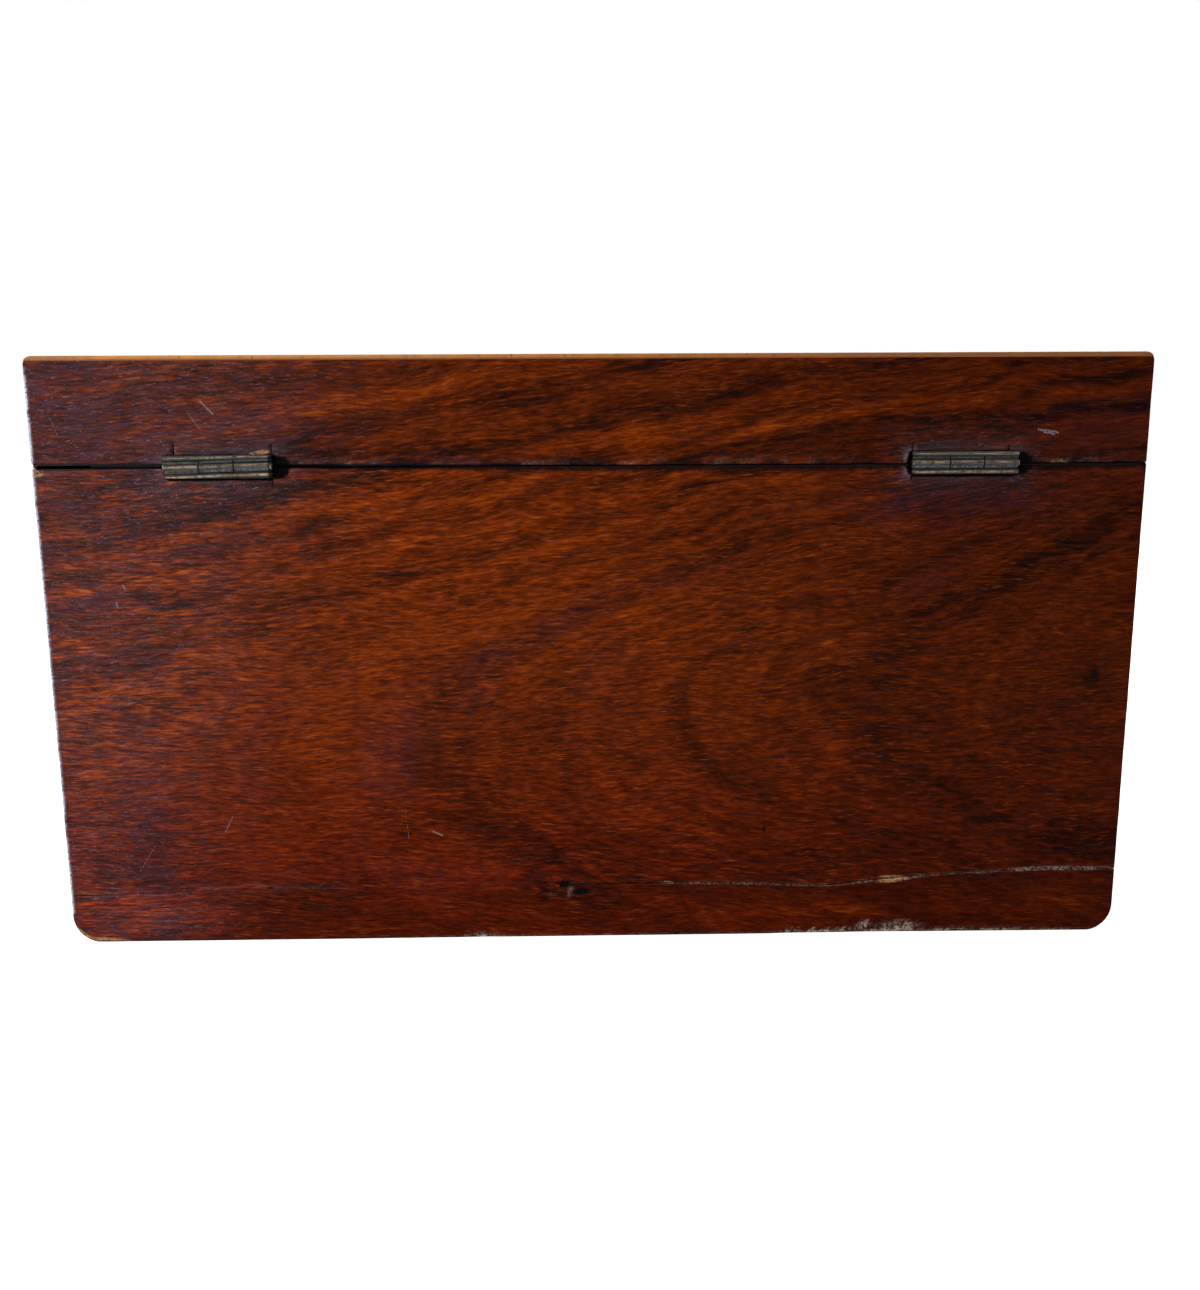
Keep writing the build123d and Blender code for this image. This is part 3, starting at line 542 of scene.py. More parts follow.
def new_group(name, inputs):
    """An empty shader node group: its tree, and its inputs, named with their defaults.
    One whose default is a tuple is a place, and the others are numbers."""
    tree = bpy.data.node_groups.new(name, "ShaderNodeTree")
    for label, default in inputs.items():
        kind = "NodeSocketVector" if isinstance(default, tuple) else "NodeSocketFloat"
        socket = tree.interface.new_socket(name=label, in_out="INPUT", socket_type=kind)
        socket.default_value = default
    given = tree.nodes.new("NodeGroupInput").outputs
    return tree, [Value(given[label]) for label in inputs]


def close_group(tree, **results):
    """Gives a group its outputs, each a number, and links its results to them."""
    for label in results:
        tree.interface.new_socket(
            name=label, in_out="OUTPUT", socket_type="NodeSocketFloat")
    put(tree, "NodeGroupOutput", results)
    return tree


def use_group(tree, group, **inputs):
    """Places a group in a material, and gives what comes out of it by name."""
    made = put(tree, "ShaderNodeGroup", inputs, node_tree=GROUPS[group])
    return {output.name: Value(output) for output in made.outputs}


def clear_nodes(owner):
    """The emptied node tree of a material or a world."""
    owner.use_nodes = True
    owner.node_tree.nodes.clear()
    return owner.node_tree


def new_material(name, age_size=1.0):
    """An empty material: itself, its tree, the piece's own place in millimetres, and
    its age at this size."""
    material = bpy.data.materials.new(name)
    tree = clear_nodes(material)
    where = wire(tree, "ShaderNodeMapping", {
        "Vector": wire(tree, "ShaderNodeTexCoord", None, "Object"), "Scale": (1 / MM,) * 3})
    return material, tree, where, use_group(tree, "age", Place=where, Size=age_size)


def finish(material, **inputs):
    """Closes a material with a Principled shader, fed through its own sockets."""
    shader = put(material.node_tree, "ShaderNodeBsdfPrincipled", {
        key.replace("_", " "): value for key, value in inputs.items()})
    put(material.node_tree, "ShaderNodeOutputMaterial", {"Surface": Value(shader.outputs[0])})
    return material


# -------------------------------------------------------------- shared effects
ORIGIN = (0.0, 0.0, 0.0)
# How many growth levels the strokes feather the bands by, how rough the strokes are,
# and how far a patch's whole strength lifts or lowers the tone.
FEATHER, STROKE_ROUGHNESS = 8, 0.55
GLOW_LIFT, DARK_FALL = 0.16, 0.30


def make_rosewood_group():
    """The figure of rosewood: soft bands that follow the growth level, feathered into
    strokes along the fibre; fine fibre; short bright flecks; violet clouds; a streaky
    haze; and dark pores, thickest in the clouds and the dark bands."""
    tree, (along, lay, growth, dark, glow, contrast) = new_group(
        "Rosewood Figure",
        {"Along": 0, "Lay": 0, "Growth": 0, "Dark": 0, "Glow": 0, "Contrast": 1})

    def stroke(length, height, seed, detail, across=lay):
        """Noise in strokes of this length and height, in millimetres."""
        return mottle(place(along / length, across / height, seed), 1.0, detail,
                      STROKE_ROUGHNESS)

    level = growth + (stroke(9.0, 0.8, 5.5, 2.0) - 0.5) * FEATHER
    fibre = stroke(3.0, 0.75, 2.3, 5.0)
    tone = 0.50
    for noise, share in ((stroke(90.0, 9.0, 0.0, 1.5, level), 0.33),
                         (stroke(34.0, 3.2, 3.1, 1.5, level), 0.33),
                         (stroke(14.0, 2.2, 7.7, 1.0), 0.25), (fibre, 0.80),
                         (stroke(4.5, 0.30, 14.4, 2.0), 0.60)):
        tone = tone + (noise - 0.5) * share
    tone = 0.5 + (tone - 0.5) * contrast
    # bands and glow are broken into strokes along the fibre
    broken = spread(stroke(8.0, 1.1, 4.4, 2.0), 0.36, 0.64, 0.35, 1.65)
    tone = tone + glow * GLOW_LIFT * broken - dark * DARK_FALL * broken
    patch = spread(stroke(16.0, 9.0, 2.0, 2.0), 0.38, 0.64, 0.1, 1.0)
    fleck = spread(stroke(3.6, 0.34, 1.3, 1.5), 0.58, 0.72) * patch
    cloud = (spread(stroke(16.0, 2.2, 6.1, 3.0, level), 0.50, 0.62)
             + spread(stroke(6.0, 0.9, 8.8, 2.0), 0.54, 0.66) * 0.7).clamped()
    haze_and_sheen = (spread(stroke(2.0, 0.5, 11.1, 3.0), 0.50, 0.68) * 0.6
            + spread(stroke(8.0, 1.5, 12.2, 2.0), 0.44, 0.64) * 0.4)
    pore = spread(stroke(2.4, 0.36, 9.9, 1.5), 0.375, 0.325)
    pore = (pore * (0.30 + (cloud * 0.55 + dark * 0.5))).clamped()
    vessel = spread(stroke(7.0, 0.46, 13.3, 1.5), 0.385, 0.34)
    # the light that the lower lips of some pores catch
    lit = (spread(stroke(1.5, 0.36, 15.5, 2.0), 0.63, 0.70) - vessel).clamped()
    return close_group(tree, Tone=tone, Fleck=fleck, Pore=pore, Vessel=vessel, Lit=lit,
                       Cloud=cloud, Fibre=fibre, Haze=haze_and_sheen)


def make_scratch_group():
    """A scratch between two points: the mask of all that lies within its width."""
    tree, (spot, start, end, width) = new_group(
        "Scratch", {"Place": ORIGIN, "Start": ORIGIN, "End": ORIGIN, "Width": 0.3})

    def vector(way, a, b, output=0):
        return wire(tree, "ShaderNodeVectorMath", {0: a, 1: b}, output, operation=way)

    run, away = vector("SUBTRACT", end, start), vector("SUBTRACT", spot, start)
    share = (vector("DOT_PRODUCT", away, run, "Value")
             / vector("DOT_PRODUCT", run, run, "Value")).clamped()
    apart = vector("DISTANCE", away, scaled(run, share), "Value")
    edge = width * spread(mottle(spot, 1.7, 3.0), 0.35, 0.6, 0.3, 1.0)
    return close_group(tree, Mask=spread(apart / edge, 1.2, 0.4))


def scaled(where, size):
    """A place drawn out or in from the origin."""
    return wire(where.tree, "ShaderNodeVectorMath", {0: where, "Scale": size},
                operation="SCALE")


def make_age_group():
    """Age on any finish: broad tarnish, small scuffs and specks of dirt at a place."""
    tree, (spot, size) = new_group("Age", {"Place": ORIGIN, "Size": 1.0})
    where = scaled(spot, size)
    return close_group(tree,
                       Tarnish=spread(mottle(where, 0.12, 4.0, 0.6), 0.36, 0.64),
                       Scuff=spread(mottle(where, 0.9, 5.0, 0.75), 0.60, 0.70),
                       Dirt=spread(mottle(where, 0.5, 3.0, 0.7), 0.56, 0.72))


def make_ridge_group():
    """A worn edge or ridge: how near a height is to a line, broken by noise."""
    tree, (spot, height, line, reach) = new_group(
        "Worn Ridge", {"Place": ORIGIN, "Height": 0.0, "Line": 0.0, "Reach": 0.4})
    near = (1.0 - abs(height - line) / reach).clamped()
    broken = spread(mottle(spot, 0.8, 3.0, 0.7), 0.30, 0.62)
    return close_group(tree, Mask=(near * broken).clamped())


def make_weave_group():
    """A plain silk weave on a cloth's own two ways: crossing threads as relief, and
    slubs that lighten some of them."""
    tree, (along, across, pitch) = new_group(
        "Silk Weave", {"Along": 0, "Across": 0, "Pitch": 0.4})
    turn = FULL_TURN / pitch
    warp, weft = (along * turn).sine(), (across * turn).sine()
    slub = mottle(place(along * 0.08, across * 2.4), 1.0, 2.0)
    return close_group(tree, Relief=warp * weft * 0.5 + weft * 0.25,
                       Slub=spread(slub, 0.4, 0.7))


GROUPS = {
    "figure": make_rosewood_group(),
    "scratch": make_scratch_group(),
    "age": make_age_group(),
    "ridge": make_ridge_group(),
    "weave": make_weave_group(),
}

# Scratches and scuffs in the polish: ends along and up the back, width and strength.
SCRATCHES = (
    ((-91.9, 134.6), (-89.2, 131.7), 0.34, 0.4), ((-95.0, 132.0), (-92.6, 128.5), 0.20, 0.22),
    ((-127.6, 131.9), (-125.6, 126.6), 0.16, 0.35), ((106.0, 127.2), (110.6, 126.5), 0.42, 0.5),
    ((107.4, 126.5), (109.8, 126.1), 0.30, 0.6),
    ((-110.2, 25.8), (-114.7, 18.7), 0.10, 0.5), ((-47.6, 34.5), (-46.9, 26.7), 0.10, 0.6),
    ((-40.8, 28.6), (-38.4, 27.4), 0.22, 0.6), ((-90.6, 33.0), (-92.6, 29.0), 0.20, 0.3),
    ((-113.3, 91.4), (-112.8, 90.2), 0.35, 0.4), ((-115.2, 87.2), (-114.9, 86.1), 0.35, 0.35),
)


# ---------------------------------------------------------------- the finishes
def colour_property(name, about, *levels):
    """A colour that the user can change."""
    return FloatVectorProperty(name=name, description=about, subtype="COLOR", size=4,
                               min=0, max=1, default=colour_of(*levels))


class GloveBoxVeneer(PropertyGroup):
    """The rosewood sheets and the boxwood line."""
    grid_pitch: FloatProperty(
        name="Grid Pitch", description="Spacing of the sheets' grid",
        default=0.001, min=0.0005, unit="LENGTH")
    arris_wear: FloatProperty(
        name="Arris Wear", description="How far the upright edges are rubbed away",
        default=0.00028, min=0.0002, max=0.0009, unit="LENGTH")
    deep: colour_property("Deep Figure", "The darkest growth bands", 31, 10, 3)
    shade: colour_property(
        "Shaded Figure", "Between the dark bands and the body colour", 58, 19, 2)
    body: colour_property("Body Colour", "The wood's middle colour", 89, 31, 3)
    warm: colour_property("Warm Figure", "The red and orange streaks", 121, 46, 4)
    flame: colour_property("Bright Figure", "The brightest streaks", 164, 78, 17)
    fleck: colour_property("Flecks", "The short bright fibres", 158, 72, 20)
    violet: colour_property("Violet Cast", "The purple of the oxidised patches", 60, 29, 40)
    root: colour_property(
        "Deeper Red", "What the wood is multiplied by low down", 236, 180, 150)
    # This colour is also the painted sheen toward the left end of the back.
    bloom_and_sheen: colour_property("Bloom", "The haze in the old polish at one end", 124, 115, 120)
    # This colour also paints shade toward the right end, and over the lid's back and the foot.
    heart_and_shade: colour_property(
        "Heartwood", "What the wood is multiplied by at its dark end", 180, 170, 160)
    boxwood: colour_property("Boxwood", "The line round the lid", 196, 130, 58)


class GloveBoxMetal(PropertyGroup):
    """The hinges, the lock and the key."""
    patina: colour_property("Patina", "The dark skin on the hinge brass", 34, 35, 37)
    dull_brass: colour_property("Dull Brass", "The hinge brass under a thin skin", 74, 72, 70)
    # This colour also carries a painted highlight along the hinge ridges.
    brass: colour_property("Rubbed Brass", "Brass where wear has bared it", 152, 130, 103)
    lock_brass: colour_property("Lock Brass", "The lock's mellow brass", 178, 138, 78)
    steel: colour_property("Steel", "The bolt, the pins and the key", 122, 120, 116)
    iron: colour_property("Screw Iron", "The screws", 66, 58, 52)


class GloveBoxSilk(PropertyGroup):
    """The padded lining."""
    grid_pitch: FloatProperty(
        name="Grid Pitch", description="Spacing of the pads' grid",
        default=0.0016, min=0.0008, unit="LENGTH")
    silk: colour_property("Silk", "The faded silk of the lining", 100, 120, 150)
    faded: colour_property("Faded Silk", "Where light and gloves have paled it", 144, 158, 174)


class GloveBoxStage(PropertyGroup):
    """The lamps and the floor."""
    key_power: FloatProperty(
        name="Key Power", description="Power of the soft lamp on the hinge side",
        default=5.0, min=0, unit="POWER")
    fill_power: FloatProperty(
        name="Fill Power", description="Power of each soft lamp on the other sides",
        default=11.0, min=0, unit="POWER")
    floor: colour_property("Floor", "The pale floor", 235, 235, 235)


# The colours that time has left on the rosewood, and those of its painted highlights and
# painted shade, in screen levels.
PORE, LIT_PORE = (24, 14, 24), (146, 142, 168)
GLINT_SPECK, TARNISH = (150, 146, 156), (24, 14, 12)
SCRATCH, RUB_AND_GLINT = (140, 128, 134), (178, 180, 196)
RAW_DARK, RAW_PALE = (120, 74, 44), (196, 150, 108)
DUST_PALE, GRIME_AND_SHADE_BLACK = (182, 166, 154), (11, 9, 10)


def rosewood_material(look):
    """Old polished rosewood: the flitch's figure in five colours, violet oxidation,
    bright flecks, open pores, bloomed polish, bare edges, grime and a few scratches,
    with painted sheen, painted glints and painted shade."""
    material, tree, where, age = new_material("veneer_rosewood")
    along, up, lay, growth, dark, glow, violet, bloom_and_sheen, heart_and_shade, rub_and_glint, bare, dust, grime_and_shade = (
        read(tree, name) for name in (
            "flitch_u", "flitch_v", "lay", "growth", "dark", "glow", "violet", "bloom_and_sheen",
            "heart_and_shade", "rub_and_glint", "bare", "dust", "grime_and_shade"))
    figure = use_group(tree, "figure", Along=along, Lay=lay, Growth=growth, Dark=dark,
                       Glow=glow, Contrast=1.0 + bloom_and_sheen * 0.7 - heart_and_shade * 0.15)

    # the wood: redder low down, dimmer toward its heartwood end with painted shade there,
    # clouded, flecked and open in pores
    low = spread(up, 78, 4, 0.0, 0.95) * (1.0 - heart_and_shade * 0.35)
    clouds = figure["Cloud"] * (bloom_and_sheen * 0.50 + violet * 0.60)
    pores = (figure["Pore"] + figure["Vessel"] * (0.12 + (bloom_and_sheen + violet * 0.5))).clamped()
    stops = ((0.08, look.deep), (0.30, look.shade), (0.50, look.body), (0.70, look.warm),
             (0.95, look.flame))
    colour = coats(
        ramp(figure["Tone"], stops), (low, look.root, "MULTIPLY"),
        ((heart_and_shade * 0.84).clamped(), look.heart_and_shade, "MULTIPLY"),
        ((clouds + violet * 0.18).clamped(), look.violet),
        (figure["Fleck"] * (0.55 - heart_and_shade * 0.30), look.fleck), (pores * 0.8, PORE))

    # the polish: a painted sheen hazed along the fibre and over the bloomed left end, painted
    # glints specked where it bloomed, pores lit with painted light, and tarnish
    shine = spread(figure["Fibre"], 0.50, 0.72, 0.0, 0.7)
    haze_and_sheen = (figure["Haze"] + shine) * (0.016 - heart_and_shade * 0.007)
    bloomed_sheen = bloom_and_sheen * (0.045 + figure["Haze"] * 0.07)
    # painted glints, specked where the polish bloomed
    glint_specks = spread(mottle(where, 2.4, 2.0), 0.66, 0.74) * (bloom_and_sheen * 0.35)
    colour = coats(
        colour, (haze_and_sheen + bloomed_sheen, look.bloom_and_sheen),
        ((figure["Lit"] * (0.03 + bloom_and_sheen * 0.19)).clamped(), LIT_PORE),
        (glint_specks.clamped(), GLINT_SPECK), (age["Tarnish"] * 0.10, TARNISH))

    # the wear: scratches, which lie on the back only, then rubbed, with a painted highlight on
    # the left arris, bare, dusty, and grimy, with painted shade along the seam, the bottom edge
    # and below the hinges
    scratched = 0.0
    for start, end, width, strength in SCRATCHES:
        line = use_group(tree, "scratch", Place=where, Start=(-start[0], HALF_DEPTH, start[1]),
                         End=(-end[0], HALF_DEPTH, end[1]), Width=width)["Mask"]
        scratched = (line * strength).or_more(scratched)
    scratched = scratched * split(where)[1].above(HALF_DEPTH - 1)
    rubbed_and_glint = rub_and_glint * spread(mottle(where, 1.8, 3.0, 0.7), 0.36, 0.56)
    chips = (spread(bare, 0.25, 0.75)
             * spread(mottle(where, 0.9, 4.0, 0.7), 0.38, 0.55)).clamped()
    dusty = dust * spread(mottle(where, 1.3, 4.0, 0.8), 0.42, 0.60)
    black = spread(grime_and_shade + (mottle(where, 0.7, 3.0) - 0.5) * 0.5, 0.25, 0.75)
    colour = coats(
        colour, (scratched, SCRATCH), (rubbed_and_glint.clamped(), RUB_AND_GLINT),
        (chips, tint(mottle(where, 1.6, 3.0), RAW_DARK, RAW_PALE)),
        (dusty.clamped(), DUST_PALE), (black, GRIME_AND_SHADE_BLACK))
    smear = spread(mottle(where, 0.05, 3.0, 0.6), 0.3, 0.7, 0.30, 0.42)
    rough = (smear + chips.or_more(black) * 0.4 + pores * 0.2).clamped()
    relief = figure["Fibre"] * 0.25 - pores + mottle(where, 0.35, 2.0) * 1.2
    return finish(material, Base_Color=colour, Roughness=rough,
                  Normal=bumped(relief, 0.30, 0.00006), Specular_IOR_Level=0.0,
                  Coat_Weight=0.02, Coat_Roughness=0.2)


def boxwood_material(look):
    """The pale line round the lid, ambered by polish and blackened here and there."""
    material, _, where, age = new_material("boxwood_line", 1.4)
    # polish has browned it toward both ends and along its lower edge
    across, _, up = split(where)
    ends = spread(across, 110, -110, 0.0, 0.7).or_more(spread(across, 108, 128, 0.0, 0.5))
    browned = ends.or_more(spread(up, LINE_LOW + 0.7, LINE_LOW + 0.1, 0.0, 0.85))
    colour = coats((150, 84, 30), (mottle(where, 0.25, 3.0), look.boxwood),
                   (age["Dirt"] * 0.85, (44, 22, 12)),
                   (browned, (84, 42, 16)))
    return finish(material, Base_Color=colour, Specular_IOR_Level=0.25,
                  Roughness=spread(mottle(where, 0.4), 0.3, 0.7, 0.35, 0.55),
                  Normal=bumped(mottle(where, 1.5, 3.0), 0.25, 0.0001))


def deal_material():
    """Old softwood, browned by age: growth rings run along the boards, with a stain
    rubbed over them."""
    material, _, where, age = new_material("carcass_deal", 0.7)
    along, deep, up = split(where)
    across = deep + up
    bend = mottle(place(along * 0.012, across * 0.03), 1.0, 2.0) * 26
    late = spread((across * 1.5 + bend).sine(), 0.1, 0.95)
    fibre = mottle(place(along * 0.15, deep * 2.4, up * 2.4), 1.0, 3.0)
    # painted shade darkens the rims where they meet at the seam
    seam = abs(up - (RIM + LID_LOW) / 2)
    colour = coats((158, 116, 72), (late, (112, 72, 40)),
                   (fibre * 0.5, (92, 60, 36)),
                   (age["Tarnish"] * 0.45, (70, 42, 26)),
                   (age["Dirt"] * 0.35, (40, 28, 20)),
                   (spread(seam, 1.6, 0.6), (26, 15, 10)))
    return finish(material, Base_Color=colour, Specular_IOR_Level=0.2,
                  Roughness=spread(fibre, 0.3, 0.7, 0.62, 0.82),
                  Normal=bumped(fibre + late, 0.35, 0.00012))


def metal_material(name, fresh, dull, roughness):
    """An old metal: fresh where rubbed, dull where not, with specks of dirt."""
    material, _, where, age = new_material(name, 1.6)
    tarnish, dark_marks = age["Tarnish"], age["Dirt"]
    colour = coats(fresh, (tarnish, dull), (dark_marks * 0.6, (28, 22, 16)))
    rough = spread(tarnish, 0.0, 1.0, roughness, roughness + 0.16) + dark_marks * 0.2
    return finish(material, Base_Color=colour, Metallic=(1.0 - dark_marks * 0.6).clamped(),
                  Roughness=rough.clamped(),
                  Normal=bumped(mottle(where, 2.2, 4.0, 0.7), 0.25, 0.00008))


# Heights on a hinge, in millimetres from its axis. Ridges that wear has bared, with
# their reach and strength, which also carry a painted highlight; pale bluish lines, partly
# verdigris and partly painted highlight; and creases darkened with painted shade.
RIDGES = ((2.25, 0.4, 0.6), (0.25, 0.5, 0.65), (-1.95, 0.6, 1.0))
PALE_LINES = (1.45, -0.85)
SHADED_CREASES = (0.85, -1.35, -2.55)
KNUCKLE_EDGE, KNUCKLE_REACH = 1.62, 1.6
# How far the wear on one hinge climbs for each millimetre along it.
HINGE_TILT = 0.028


def hinge_material(look):
    """Hinge brass gone dark: a grey-brown skin, paler along the ridges that hands and
    the polishing cloth have reached, with a painted highlight on them too, and with the
    marks of its drawing along it; pale lines of verdigris and painted highlight; and
    painted shade in its creases."""
    material, tree, where, age = new_material("hinge_brass", 2.2)
    along, out, up = split(where)
    drawn = mottle(place(along * 0.10, out * 1.6, up * 3.4), 1.0, 3.0, 0.65)
    # the wear on one hinge runs a little askew
    height = up - (HINGE_PLACE - along) * (along.above(0.0) * HINGE_TILT)
    rubbed_and_glint = verdigris_and_glint = 0.0
    for line, reach, strength in RIDGES:
        ridge = use_group(tree, "ridge", Place=where, Height=height, Line=AXIS_Z + line,
                          Reach=reach)["Mask"]
        rubbed_and_glint = (ridge * strength).or_more(rubbed_and_glint)
    rubbed_and_glint = (rubbed_and_glint * spread(drawn, 0.36, 0.60, 0.35, 1.3)).clamped()
    for line in PALE_LINES:
        verdigris_and_glint = spread(abs(height - (AXIS_Z + line)), 0.42, 0.12).or_more(verdigris_and_glint)
    verdigris_and_glint = verdigris_and_glint * spread(mottle(where, 1.7, 4.0, 0.8), 0.44, 0.62)
    # dirt stands in the joints between the knuckles; the creases and the grooves beside the
    # knuckle are darkened with painted shade
    joint = abs(abs(abs(along) - HINGE_PLACE) - (HINGE_LENGTH - 1) / 6)
    knuckle = abs(up - AXIS_Z).below(KNUCKLE_REACH)
    groove = abs(abs(height - AXIS_Z) - KNUCKLE_EDGE)
    crease_shade = spread(groove, 0.30, 0.10) * 0.8
    for line in SHADED_CREASES:
        crease = spread(abs(height - (AXIS_Z + line)), 0.24, 0.06)
        crease_shade = (crease * (0.35 + drawn)).or_more(crease_shade)
    dark_marks = (age["Dirt"] * 0.7).or_more(crease_shade.or_more(spread(joint, 0.32, 0.10) * knuckle))
    colour = coats(tint(spread(drawn, 0.38, 0.62), look.patina, look.dull_brass),
                   (age["Tarnish"] * 0.5, (46, 42, 36)), (rubbed_and_glint, look.brass),
                   (verdigris_and_glint * 0.55, (120, 130, 138)),
                   (age["Scuff"] * 0.35, (128, 130, 130)),
                   (dark_marks, (18, 15, 14)))
    relief = drawn + mottle(where, 2.6, 4.0, 0.75) * 0.7
    return finish(material, Base_Color=colour, Specular_IOR_Level=0.15,
                  Metallic=spread(rubbed_and_glint, 0.0, 1.0, 0.25, 0.6),
                  Roughness=spread(rubbed_and_glint, 0.0, 1.0, 0.62, 0.44),
                  Normal=bumped(relief, 0.7, 0.0002))


def silk_material(look):
    """Faded silk: a fine weave on the cloth's own ways, paler where it was handled, with
    painted shade in its gathered furrows.
    """
    material, tree, _, age = new_material("silk", 0.5)
    weave = use_group(tree, "weave", Along=read(tree, "cloth_u"),
                      Across=read(tree, "cloth_v"), Pitch=0.42)
    handled = (age["Tarnish"] * 0.2 + read(tree, "crown") * 0.4).clamped()
    colour = coats(look.silk, (handled, look.faded),
                   (weave["Slub"] * 0.18, (180, 190, 200)),
                   # painted shade in the furrows of the gathers
                   ((read(tree, "furrow") * 0.6).clamped(), (54, 68, 94)),
                   (age["Dirt"] * 0.22, (88, 82, 76)))
    return finish(material, Base_Color=colour, Specular_IOR_Level=0.35,
                  Roughness=spread(weave["Relief"], -0.7, 0.7, 0.42, 0.60),
                  Normal=bumped(weave["Relief"], 0.35, 0.00008),
                  Sheen_Weight=0.35, Sheen_Roughness=0.4)


def floor_material(look):
    """The pale floor: it takes the box's shadow, and shows as white beside it."""
    material = bpy.data.materials.new("stage_floor")
    glow = seen_plainly(clear_nodes(material)) * 0.72
    return finish(material, Base_Color=look.floor, Roughness=0.9, Specular_IOR_Level=0.0,
                  Emission_Color=(1, 1, 1, 1), Emission_Strength=glow)


# ---------------------------------------------------------------- the veneer sheets
# How far the end veneers stand up into the seam, where the boards have shrunk below them.
END_STAND = 0.78
RECESS_REACH = HINGE_LENGTH / 2 + RECESS_FIT
# Where the back's grid needs a line: its ends, the hinge recesses and the knife cuts.
BACK_STOPS = [-HALF_WIDTH, HALF_WIDTH]
for hinge in (-HINGE_PLACE, HINGE_PLACE):
    BACK_STOPS += [hinge - RECESS_REACH, hinge + RECESS_REACH, hinge + RECESS_REACH + 2.0]
for cut in KNIFE_CUTS:
    BACK_STOPS += [cut[0] - KNIFE / 2, cut[0] + KNIFE / 2]
# The row that is drawn to the split, how far above it the rows are level again, and how
# far along the split begins to gape.
SPLIT_ROW, SPLIT_FADE, GAPE_START = 11.0, 16, -14
# Above this row the body's top edge is worn, more over this rise, and below this row
# the lid's lower edge.
TOP_WEAR_ROW, TOP_WEAR_RISE, LID_WEAR_ROW = 117, 2.1, 122
# Rows that the chips and the ends of the knife cuts need.
LOWER_CUT_ROWS = [114.7, 115.4, 115.8, 116.2, 116.5]
UPPER_CUT_ROWS = [122.5, 122.8, 123.15, 123.6, 124.2, 124.5, 125.3]


def cell_middles(field):
    """A grid field at the middles of its cells."""
    return (field[:-1, :-1] + field[1:, 1:]) / 2


def cut_recesses(along, up):
    """Which cells of a back sheet stay: all but the hinge recesses and knife cuts."""
    along, up = cell_middles(along), cell_middles(up)
    keep = np.ones(along.shape, bool)
    for middle in (-HINGE_PLACE, HINGE_PLACE):
        keep &= ~((np.abs(along - middle) < RECESS_REACH) & (np.abs(up - AXIS_Z) < LEAF_REACH))
    for spot, low, high in KNIFE_CUTS:
        keep &= ~((np.abs(along - spot) < KNIFE / 2) & (up > low) & (up < high))
    return keep


def blots(u, v, *marks):
    """Soft-edged oval marks, each from its strength at its middle to nought: strength,
    middle along and up, and half its length and width."""
    total = 0
    for strength, middle_u, middle_v, half_u, half_v in marks:
        reach = ((u - middle_u) / half_u) ** 2 + ((v - middle_v) / half_v) ** 2
        total = total + strength * np.exp(-(reach**1.5))
    return total


def past_hinge(along, up, middle):
    """How far each place lies past a hinge's ends, and past its leaves' edges."""
    return (np.maximum(np.abs(along - middle) - HINGE_LENGTH / 2, 0),
            np.maximum(np.abs(up - AXIS_Z) - LEAF_REACH, 0))


def hinge_grime_and_shadow(along, up):
    """Black oil and dirt beside each hinge, with painted shadow: a dark patch past its right
    end, partly oil stain and partly painted shadow, and a painted shadow line below it.
    """
    total = 0
    for middle, run in ((-HINGE_PLACE, 3.5), (HINGE_PLACE, 2.8)):
        end = middle + HINGE_LENGTH / 2 - 0.4
        # a painted shadow line below the hinge
        below = bell(AXIS_Z - LEAF_REACH - 0.2 - up, 0.42)
        total = (total + 2.4 * bell(along - end, run, 4) * bell(up - AXIS_Z + 0.3, 2.3, 4)
                 + 0.7 * bell(sum(past_hinge(along, up, middle)), 0.3)
                 + 1.4 * below * (np.abs(along - middle) < HINGE_LENGTH / 2))
    return total


def hinge_haze(along, up):
    """The bloom in the polish close round each hinge, where oil and cloth have been."""
    total = 0
    for middle, strength in ((-HINGE_PLACE, 0.8), (HINGE_PLACE, 0.7)):
        apart = np.hypot(*past_hinge(along, up, middle))
        total = total + strength * (bell(apart, 5) + 1.6 * bell(apart, 1.6))
    return total


def arris(along, up, reach, wear):
    """How a back or front sheet rounds over at its two ends: a quarter circle, with
    uneven wear."""
    return round_off(reach - np.abs(along), wear * (0.85 + 0.15 * ripple(up, 0, 14, 21)))


def arris_glint(along, up, edge):
    """A painted highlight on the upright arris at the left: a pale broken line, partly worn by
    rubbing.
    """
    dashes = held(0.95 + 0.5 * ripple(up, 0, 19, 39, 5) + 0.5 * ripple(up, 0, 3, 45, 5))
    return 2.0 * bell(edge - 0.16, 0.30) * dashes * (along < 0)


# Pale dust in the split: places along the back, and how much lies there.
DUST = np.array([
    (14, 0.0), (20, 0.5), (36, 0.5), (60, 0.3), (70, 0.4), (84, 0.5), (104, 0.42),
    (109, 0.9), (122, 1.05), (126, 0.5), (132.5, 0.4),
])


def dust_run(along):
    """How much pale dust lies along the split, in runs."""
    return np.interp(along, *DUST.T) * patchy(along, 0, 6, 40, 0.8, 0.6, 2)


